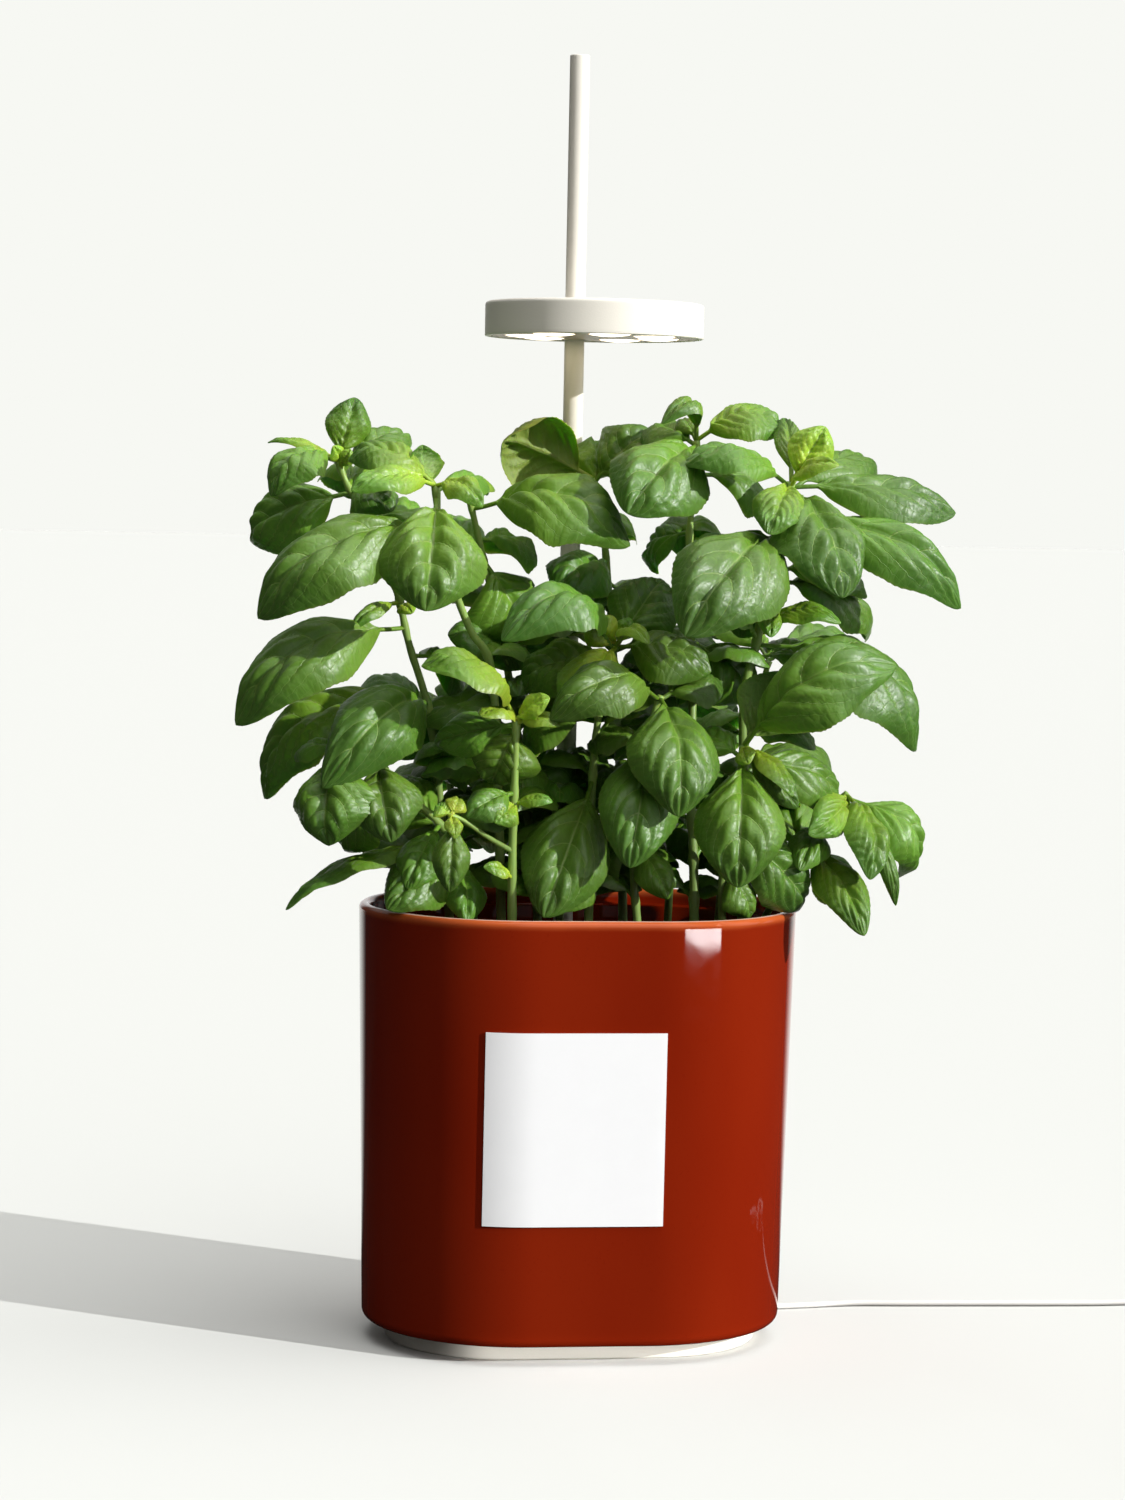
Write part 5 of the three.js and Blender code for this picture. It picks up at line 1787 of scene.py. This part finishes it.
class Foliage:
    """The growing mesh of one leafy stem."""

    finishes = (LEAF_SKIN, STEM_SKIN)

    def __init__(self) -> None:
        """Start with nothing."""
        self.skins: list[Skin] = []

    def joined(self, title: str) -> Array:
        """One value of every skin, end to end."""
        return np.concatenate([getattr(skin, title) for skin in self.skins])

    def build(self, name: str) -> Piece:
        """Make the mesh with its attributes.

        Args:
            name: The piece's name.

        Returns:
            The piece.
        """
        faces: list[tuple[int, ...]] = []
        kinds: list[int] = []
        count = 0
        for skin in self.skins:
            faces += [tuple(count + corner for corner in face) for face in skin.faces]
            kinds += [skin.finish] * len(skin.faces)
            count += len(skin.points)
        piece = mesh_object(name, self.joined("points"), faces, crease=75)
        mesh = piece.data
        tints = np.column_stack((self.joined("tint"), np.ones(count)))
        for title, kind, field, values in (
            ("tint", "FLOAT_COLOR", "color", tints),
            ("lay", "FLOAT_VECTOR", "vector", self.joined("lay")),
            ("under", "FLOAT", "value", self.joined("under")),
        ):
            mesh.attributes.new(title, kind, "POINT").data.foreach_set(field, values.ravel())
        corners = np.empty(len(mesh.loops), int)
        mesh.loops.foreach_get("vertex_index", corners)
        mesh.uv_layers.new(name="blade").data.foreach_set("uv", self.joined("flat")[corners].ravel())
        mesh.polygons.foreach_set("material_index", kinds)
        ends = np.empty(2 * len(mesh.edges), int)
        mesh.edges.foreach_get("vertices", ends)
        sharp = mesh.attributes.get("sharp_edge") or mesh.attributes.new("sharp_edge", "BOOLEAN", "EDGE")
        sharp.data.foreach_set("value", self.joined("rim")[ends].reshape(-1, 2).all(axis=1))
        for finish in self.finishes:
            mesh.materials.append(finish.material())
        mesh.update()
        return piece


@dataclass(frozen=True)
class BladeForm:
    """The form that every leaf shares: a narrow stalk and a puckered, arched blade with a toothed edge."""

    stalk_share: float = 0.14
    stalk: float = 1.1
    lean: float = 0.6
    lobes: float = 0.16
    quilt: float = 0.045
    crumple: float = 0.028
    wave: float = 0.06
    hook: float = 0.6
    spare: float = 1.05
    thickness: float = 0.44
    rib: float = 0.7
    teeth: int = 19
    tooth: float = 0.014
    vein_first: float = 0.05
    vein_rise: float = 0.2
    vein_bend: float = 0.5
    rows: int = 64
    columns: int = 14
    long: float = 38
    short_fine: float = 0.66
    inner_fine: float = 0.45
    first_tooth: float = 0.18
    least_half: float = 0.25
    join: float = 0.07
    waves: float = 2.2
    sway: float = 0.05
    rib_width: float = 0.8

    def outline(self, u: Array) -> Array:
        """Half the blade's width along it, as a share of the greatest half width."""
        return np.sin(np.pi * np.clip(u, 0, 1) ** 0.97) ** (0.86 - 0.26 * u)

    def facing(self, leaf: Leaf, along: Array) -> Array:
        """The direction that a leaf's upper side faces.

        Args:
            leaf: The leaf.
            along: The direction from its foot to its tip.

        Returns:
            The direction.
        """
        level = np.array((leaf.reach[0], leaf.reach[1], 0.0))
        up = np.array((0, 0, 1.0)) + self.lean * level / max(np.linalg.norm(level), 1e-6)
        up -= along * (up @ along)
        up /= np.linalg.norm(up)
        roll = math.radians(leaf.roll)
        return math.cos(roll) * up + math.sin(roll) * np.cross(along, up)

    def steps(self, leaf: Leaf, length: float) -> tuple[Array, Array, Array]:
        """The steps of a leaf's mesh, which is finer on the long leaves.

        Args:
            leaf: The leaf.
            length: Its length.

        Returns:
            Shares along the leaf, shares along its blade, and places across it from -1 to 1.
        """
        fine = self.inner_fine if leaf.inner else 1 if length > self.long else self.short_fine
        rows, columns = round(self.rows * fine), 2 * round(self.columns * fine)
        even = np.linspace(0, 1, rows + 1)
        eased = 0.6 * even + 0.4 * (1 - np.cos(np.pi * even)) / 2
        stalk = np.linspace(0, self.stalk_share, 6)[:-1]
        t = np.concatenate((stalk, self.stalk_share + (1 - self.stalk_share) * eased))
        u = np.clip((t - self.stalk_share) / (1 - self.stalk_share), 0, 1)
        return t, u, np.linspace(-1, 1, columns + 1)

    def half_width(self, leaf: Leaf, t: Array, u: Array) -> Array:
        """Half a leaf's width along it, with the teeth of its edge.

        Args:
            leaf: The leaf.
            t: Shares along the leaf.
            u: Shares along its blade.

        Returns:
            A column of half widths.
        """
        teeth = max(8, round(self.teeth * math.sqrt(leaf.width / 40)))
        tooth = self.tooth * (((teeth * u) % 1) - 0.5)
        tooth = tooth * ramp(u - self.first_tooth, 0.1) * ramp(1 - u, 0.06)
        blade = self.spare * leaf.width / 2 * self.outline(u) * (1 + tooth * 2)
        half = np.maximum(np.maximum(self.stalk * (1 - u), blade), self.least_half)
        return np.where(t <= self.stalk_share, self.stalk, half)[:, None]

    def relief(self, leaf: Leaf, u: Array, s: Array, half: Array, rng: random.Random) -> tuple[Array, Array]:
        """The fold, the lobes, the waves and the puckers of a blade.

        Args:
            leaf: The leaf.
            u: Shares along its blade.
            s: Places across it.
            half: Its half widths.
            rng: Draws this leaf's small differences.

        Returns:
            The height of each point over the blade's middle, and how many side veins lie before it.
        """
        growth = leaf.age.value
        v, off = u[:, None], np.abs(s)[None, :]
        phase = (v - self.vein_first - self.vein_rise * off - self.vein_bend * off**3) / growth.vein_step
        ends = ramp(v, 0.08) * ramp(1 - v, 0.14)
        band = np.abs(np.sin(np.pi * np.maximum(phase, -0.5))) ** 0.75
        pitch, twist = rng.uniform(1.8, 2.6), rng.uniform(0, TURN)
        ripple = 1 + 0.3 * np.sin(TURN * pitch * off + twist + 2.1 * np.floor(phase) + 1.3 * np.sign(s))
        quilt = band * ripple * ramp(off, 0.12) * (1 - off**6) * ends
        lobes = np.sin(np.pi * off**0.85) * ends
        waves = self.waves + rng.uniform(-0.6, 0.8)
        edge = np.sin(TURN * waves * v + twist + np.where(s < 0, 2.1, 0)[None, :])
        sway = np.sin(TURN * 1.2 * v + twist * 1.7) * s[None, :]
        bend = -growth.fold * off**2.2 + self.lobes * lobes + self.wave * edge * off**3
        ahead = np.sin(TURN * (1.5 * v + 0.5 * s) + twist)
        folds = ahead * np.sin(TURN * (0.8 * v - 0.7 * s) + 2 * twist)
        height = half * (bend + self.sway * sway)
        height += leaf.width * growth.pucker * (self.quilt * quilt + self.crumple * folds * ends)
        return height * ramp(v, self.join), phase

    def tint(self, leaf: Leaf, u: Array, s: Array, rng: random.Random) -> Array:
        """The colour of each point, which runs from a leaf's foot to its tip.

        Args:
            leaf: The leaf.
            u: Shares along its blade.
            s: Places across it.
            rng: Draws how light and how yellow the leaf is.

        Returns:
            Linear colours.
        """
        growth = leaf.age.value
        foot, tip = (np.array(linear(colour)[:3]) for colour in (growth.base, growth.tip))
        share = np.clip(u[:, None] * 1.1 + 0.15 * np.abs(s)[None, :], 0, 1)[..., None]
        tint = (foot * (1 - share) + tip * share) * rng.uniform(0.8, 1.2)
        return tint * np.array((1 + rng.uniform(-0.1, 0.1), 1, 1 + rng.uniform(-0.15, 0.15)))

    def skin(self, leaf: Leaf, base: Array, stem: Array, rng: random.Random) -> Skin:
        """Make one leaf.

        Args:
            leaf: The leaf.
            base: Where the leaf's reach is measured from.
            stem: Where its stalk meets the shoot.
            rng: Draws this leaf's small differences.

        Returns:
            Its part of the stem's mesh.
        """
        reach = np.array(leaf.reach, float)
        length = float(np.linalg.norm(reach))
        along = reach / length
        up = self.facing(leaf, along)
        side = np.cross(along, up)
        t, u, s = self.steps(leaf, length)
        half = self.half_width(leaf, t, u)
        height, phase = self.relief(leaf, u, s, half, rng)

        rise = 4 * leaf.arch * length * t * (1 - t) * (1 + self.hook * (t - 0.5))
        middle = base + np.outer(length * t, along) + np.outer(rise, up)
        middle += np.outer((1 - ramp(t, self.stalk_share)) ** 2, stem - base)
        slope = along + np.outer(np.gradient(rise, length * t), up)
        slope /= np.linalg.norm(slope, axis=1)[:, None]
        normal = up - slope * (slope @ up)[:, None]
        normal = (normal / np.linalg.norm(normal, axis=1)[:, None])[:, None, :]

        v, off = u[:, None], np.abs(s)[None, :]
        blade = ramp(v, self.join)
        round_ = (1 - blade) * np.sqrt(1 - np.clip(off, 0, 1) ** 2)
        centre = middle[:, None, :] + side * (half * s)[..., None] + normal * height[..., None]
        rib = self.rib * np.exp(-((half * s / self.rib_width) ** 2)) * (1 - v) ** 0.7
        lift = round_ + blade * self.thickness / 2
        drop = round_ + blade * (self.thickness / 2 + rib)
        top = centre + normal * lift[..., None]
        below = centre - normal * drop[..., None]
        rim = np.zeros((len(t), len(s)), bool)
        rim[[0, -1], :] = rim[:, [0, -1]] = True
        top[rim] = centre[rim]

        count, inside = rim.size, ~rim
        index = np.arange(count).reshape(rim.shape)
        lower = index.copy()
        lower[inside] = count + np.arange(inside.sum())
        faces = []
        for grid, flip in ((index, False), (lower, True)):
            corners = (grid[:-1, :-1], grid[:-1, 1:], grid[1:, 1:], grid[1:, :-1])
            quads = np.stack(corners, axis=-1).reshape(-1, 4)
            faces += [tuple(quad[::-1] if flip else quad) for quad in quads.tolist()]

        across = np.broadcast_to((s[None, :] + 1) / 2, rim.shape)
        own = rng.uniform(0, 900)
        ahead = np.broadcast_to((length * t)[:, None], rim.shape)
        lay = np.stack((half * s + own, ahead, np.full(rim.shape, own)), axis=-1)
        tint = self.tint(leaf, u, s, rng)

        def both(values: Array) -> Array:
            """The values of the upper side, then those of the underside within the rim."""
            return np.concatenate((values.reshape(count, -1), values[inside]))

        return Skin(
            points=np.concatenate((top.reshape(-1, 3), below[inside])),
            faces=faces,
            finish=0,
            tint=both(np.broadcast_to(tint, (*rim.shape, 3))),
            lay=both(lay),
            flat=both(np.stack((across, phase), axis=-1)),
            under=np.concatenate((np.zeros(count), np.ones(int(inside.sum())))),
            rim=np.concatenate((rim.ravel(), np.zeros(int(inside.sum()), bool))),
        )


@dataclass(frozen=True)
class InnerLeaves:
    """The small shaded leaves that stand in pairs along every stem, inside the plant."""

    lowest: float = 204
    highest: float = 0.86
    spacing: float = 18
    lengths: tuple[float, float] = (30, 52)
    stout: float = 0.66
    arch: float = 0.18
    reach: tuple[float, float] = (112, 78)
    foremost: float = -34
    openings: tuple[tuple[float, float, float, float], ...] = (
        (-122, -62, 293, 347),
        (-22, 45, 338, 361),
        (47, 67, 372, 384),
        (52, 62, 318, 333),
        (-88, -64, 282, 296),
        (-112, -82, 261, 272),
        (-130, -84, 203, 214),
        (88, 101, 311, 321),
        (72, 83, 296, 307),
    )

    def hidden(self, points: Array) -> bool:
        """Whether points stay inside the plant and out of the places that one sees through.

        Args:
            points: The points, in millimetres.

        Returns:
            True where all of them do.
        """
        wide, deep = self.reach
        outside = np.hypot(points[:, 0] / wide, points[:, 1] / deep) > 1
        if outside.any() or points[:, 1].min() < self.foremost:
            return False
        eye = np.array(EYE)
        seen = eye + (points - eye) * (-eye[1] / (points[:, 1] - eye[1]))[:, None]
        x, z = seen[:, 0], seen[:, 2]
        for left, right, low, high in self.openings:
            if ((x > left) & (x < right) & (z > low) & (z < high)).any():
                return False
        return bool(points[:, 2].min() > self.lowest - 2)

    def grow(self, shoot: Shoot, rng: random.Random) -> list[Leaf]:
        """Place the pairs along a shoot.

        Args:
            shoot: The shoot.
            rng: Draws each leaf's direction and size.

        Returns:
            The leaves.
        """
        known = np.array(shoot.path, float)
        marks = marks_along(known)
        start = float(np.interp(self.lowest, known[:, 2], marks))
        nodes = np.arange(start, self.highest * marks[-1], self.spacing)
        turn = rng.uniform(0, math.pi)
        leaves = []
        for mark in nodes:
            turn += math.pi / 2 + rng.uniform(-0.35, 0.35)
            foot = point_at(mark, marks, known)
            for angle in (turn, turn + math.pi):
                size = rng.uniform(*self.lengths)
                aim = np.array((math.cos(angle), math.sin(angle), rng.uniform(-0.35, 0.45)))
                reach = aim / np.linalg.norm(aim) * size
                half = np.cross(reach, (0, 0, 1)) / size * self.stout * size / 2
                widest = reach * 0.6
                spots = (reach * 0.4, reach * 0.7, reach, widest + half, widest - half)
                if self.hidden(foot + np.array(spots)):
                    roll = rng.uniform(-25, 25)
                    # The shaded inner leaves mostly take the old leaves' tint, which carries painted light.
                    age = rng.choice((Age.OLD_PAINTED_LIGHT, Age.OLD_PAINTED_LIGHT, Age.GROWN))
                    at, width = mark / marks[-1], self.stout * size
                    leaves.append(Leaf(at, tuple(reach), width, roll, self.arch, age, True))
        return leaves


@dataclass(frozen=True)
class Basil:
    """The plant: every leafy stem as one piece."""

    form: BladeForm = BladeForm()
    inner: InnerLeaves = InnerLeaves()
    sides: int = 12
    foot: Colour = (120, 146, 74)
    tip: Colour = (148, 180, 84)
    seed: int = 20
    steps: int = 8
    swelling: float = 0.22
    swelling_reach: float = 2.2
    stoutest: float = 1.35

    def add_shoot(self, foliage: Foliage, shoot: Shoot, rng: random.Random) -> None:
        """Add a shoot and its leaves.

        Args:
            foliage: The mesh that grows.
            shoot: The shoot.
            rng: Draws the small differences.
        """
        known = np.array(shoot.path, float)
        coarse = marks_along(known)
        line = smooth_path(shoot.path, self.steps)
        marks = coarse[:-1, None] + np.diff(coarse)[:, None] * np.arange(self.steps) / self.steps
        marks = np.append(marks.ravel(), coarse[-1]) / coarse[-1]
        slender = np.interp(marks, (0, 1), shoot.radii)
        radii = slender
        for leaf in shoot.leaves:
            off = (marks - leaf.at) * coarse[-1] / self.swelling_reach
            radii = radii * (1 + self.swelling * np.exp(-(off**2)))
        radii = np.minimum(radii, slender * self.stoutest)
        points, faces = tube(line, radii, self.sides)
        ends = [np.array(linear(colour)[:3]) for colour in (self.foot, self.tip)]
        tint = np.repeat(ends[0] + (ends[1] - ends[0]) * marks[:, None], self.sides, axis=0)
        none = np.zeros(len(points))
        foliage.skins.append(Skin(points, faces, 1, tint, points, np.zeros((len(points), 2)), none, none > 1))
        for leaf in shoot.leaves:
            base = point_at(leaf.at * coarse[-1], coarse, known)
            stem = point_at(leaf.at, marks, line)
            foliage.skins.append(self.form.skin(leaf, base, stem, rng))

    def build(self) -> None:
        """Make every stem."""
        rng = random.Random(self.seed)
        for name, main in STEMS.items():
            foliage = Foliage()
            inner = self.inner.grow(main, rng)
            self.add_shoot(foliage, shoot(main.path, main.radii, *main.leaves, *inner), rng)
            if name in SIDE_SHOOTS:
                self.add_shoot(foliage, SIDE_SHOOTS[name], rng)
            piece = foliage.build(name.replace("stem", "basil"))
            settle(piece, None, [name])


# ---------------------------------------------------------------- studio


@dataclass(frozen=True)
class Panel:
    """A soft light far round the object: where it lies, half its width in degrees, and its level."""

    towards: Point
    half: float
    level: float


@dataclass(frozen=True)
class Strip:
    """A strip light: its place and aim, and whether it is only mirrored or only shines."""

    name: str
    size: tuple[float, float]
    place: Point
    aim: Point
    watts: float
    spread: float
    mirrored: bool


@dataclass(frozen=True)
class Studio:
    """The camera, the pale floor and the lights."""

    eye: Point = EYE
    yaw: float = 8.02
    pitch: float = -3.945
    roll: float = 1.137
    lens: float = 88.67
    backdrop: Colour = (247, 248, 243)
    ambient: float = 0.06
    sun_from: Point = (0.81, -0.58, 0.4)
    sun_strength: float = 3.75
    sun_angle: float = 0.6
    floor_reach: float = 30000
    floor_seen: float = 0.663
    # Painted light on the floor round the pot: its extra share and how far it reaches.
    painted_light_near: float = 0.17
    painted_light_reach: float = 100
    floor_bounce: float = 0.12
    floor_mirrored: tuple[float, float] = (0.02, 0.8)
    behind: Point = (0.14, 0.99, 0)
    behind_span: tuple[float, float] = (0.75, 0.9)
    panels: tuple[Panel, ...] = (
        Panel((0.2, -0.05, 1), 30, 2.5),
        Panel((0.25, -0.8, 0.55), 24, 1.3),
        Panel((0.95, -0.1, 0.32), 22, 1.7),
        Panel((0.14, 0.99, 0.05), 22, 0.9),
        Panel((-0.4, 0.7, 0.8), 24, 0.4),
    )
    strips: tuple[Strip, ...] = (
        Strip("glint", (510, 15), (686, -822, 32), (46, -70, 195), 0.9, 180, True),
        Strip("kicker", (200, 6), (100, -380, 4), (40, 0, 3), 0.006, 4, False),
    )

    def build_camera(self) -> None:
        """Make the camera, which looks from the left and a little from above."""
        yaw, pitch, roll = (math.radians(angle) for angle in (self.yaw, self.pitch, self.roll))
        ahead = Vector((math.sin(yaw) * math.cos(pitch), math.cos(yaw) * math.cos(pitch), math.sin(pitch)))
        right = Vector((math.cos(yaw), -math.sin(yaw), 0))
        up = right.cross(ahead)
        tilted_right = math.cos(roll) * right + math.sin(roll) * up
        tilted_up = math.cos(roll) * up - math.sin(roll) * right
        camera = bpy.data.objects.new("camera", bpy.data.cameras.new("camera"))
        camera.data.lens = self.lens
        camera.data.sensor_width = 36
        camera.data.clip_end = 200
        turned = Matrix((tilted_right, tilted_up, -ahead)).transposed().to_4x4()
        camera.matrix_world = Matrix.Translation(Vector(self.eye) * MM) @ turned
        bpy.context.collection.objects.link(camera)
        bpy.context.scene.camera = camera

    def build_floor(self) -> None:
        """Make the pale floor, which throws less light back than it shows, and is drawn brighter towards the
        middle as painted light.
        """
        reach = self.floor_reach
        corners = np.array([(x * reach, y * reach, 0) for x, y in ((-1, -1), (1, -1), (1, 1), (-1, 1))])
        floor = mesh_object("floor", corners, [(0, 1, 2, 3)])
        material = bpy.data.materials.new("Studio floor")
        material.use_nodes = True
        graph = Graph(material.node_tree)
        shader = material.node_tree.nodes["Principled BSDF"]
        path = graph.add("ShaderNodeLightPath").outputs
        place = graph.place()
        distance = graph.vector("LENGTH", "Value", place)
        # Painted light: the floor that the camera sees is drawn brighter towards the middle, to even out the
        # shade that falls on it round the pot.
        painted_light = graph.math("POWER", graph.math("DIVIDE", self.painted_light_reach * MM, distance), 2)
        level = graph.math("MULTIPLY_ADD", painted_light, self.floor_seen * self.painted_light_near)
        level.node.inputs[2].default_value = self.floor_seen
        onward = graph.vector("NORMALIZE", "Vector", place)
        facing = graph.vector("DOT_PRODUCT", "Value", onward, self.behind)
        mirrored = graph.span(facing, *self.behind_span, *self.floor_mirrored)
        bounce = (*(self.floor_bounce,) * 3, 1)
        thrown = graph.mix(path["Is Glossy Ray"], bounce, mirrored)
        level = graph.mix(path["Is Camera Ray"], thrown, level)
        pale = np.array(linear(self.backdrop)[:3]) / linear(self.backdrop)[1]
        shown = graph.mix(1.0, level, (*pale, 1), "MULTIPLY")
        graph.fill(shader, Base_Color=shown, Roughness=1, Specular_IOR_Level=0)
        floor.data.materials.append(material)

    def build_world(self) -> None:
        """Make the surrounding light: dim, with a few soft panels."""
        world = bpy.data.worlds.new("studio")
        bpy.context.scene.world = world
        world.use_nodes = True
        graph = Graph(world.node_tree)
        aim = graph.add("ShaderNodeTexCoord").outputs["Generated"]
        level: object = self.ambient
        for panel in self.panels:
            facing = graph.vector("DOT_PRODUCT", "Value", aim, Vector(panel.towards).normalized())
            wide, narrow = (math.cos(math.radians(panel.half * share)) for share in (1.3, 0.7))
            glow = graph.span(facing, wide, narrow, 0, panel.level)
            level = graph.math("ADD", level, glow)
        shade = graph.add("ShaderNodeCombineXYZ")
        for socket in shade.inputs:
            graph.put(socket, level)
        seen = graph.add("ShaderNodeLightPath").outputs["Is Camera Ray"]
        background = world.node_tree.nodes["Background"]
        graph.put(background.inputs["Color"], graph.mix(seen, shade.outputs[0], linear(self.backdrop)))

    def build_light(self, light: bpy.types.Light, place: Point, aim: Point) -> Piece:
        """Stand a light at a place, turned to a point.

        Args:
            light: The light.
            place: Where it stands.
            aim: The point that it shines on.

        Returns:
            The light's object, which the camera doesn't see.
        """
        lamp = bpy.data.objects.new(light.name, light)
        lamp.location = Vector(place) * MM
        lamp.rotation_euler = (Vector(aim) - Vector(place)).to_track_quat("-Z", "Y").to_euler()
        lamp.visible_camera = False
        bpy.context.collection.objects.link(lamp)
        return lamp

    def build_strip(self, strip: Strip) -> None:
        """Make one strip light."""
        light = bpy.data.lights.new(strip.name, "AREA")
        light.shape = "RECTANGLE"
        light.size, light.size_y = (side * MM for side in strip.size)
        light.energy = strip.watts
        light.spread = math.radians(strip.spread)
        lamp = self.build_light(light, strip.place, strip.aim)
        lamp.visible_glossy = strip.mirrored
        lamp.visible_diffuse = not strip.mirrored

    def build(self) -> None:
        """Make the studio."""
        self.build_camera()
        self.build_floor()
        self.build_world()
        key = bpy.data.lights.new("key", "SUN")
        key.energy = self.sun_strength
        key.angle = math.radians(self.sun_angle)
        self.build_light(key, tuple(2000 * axis for axis in self.sun_from), (0, 0, 0))
        for strip in self.strips:
            self.build_strip(strip)
        bpy.context.scene.view_settings.view_transform = "Standard"


def main() -> None:
    """Build the studio and then every piece, the cable first."""
    logging.basicConfig(level=logging.INFO, format="%(name)s: %(message)s")
    Studio().build()
    for assembly in (Lead(), Stand(), Planter(), LampHead(), Basil()):
        assembly.build()
        LOG.info("%s is finished", type(assembly).__name__)
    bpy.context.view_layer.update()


if __name__ == "__main__":
    main()
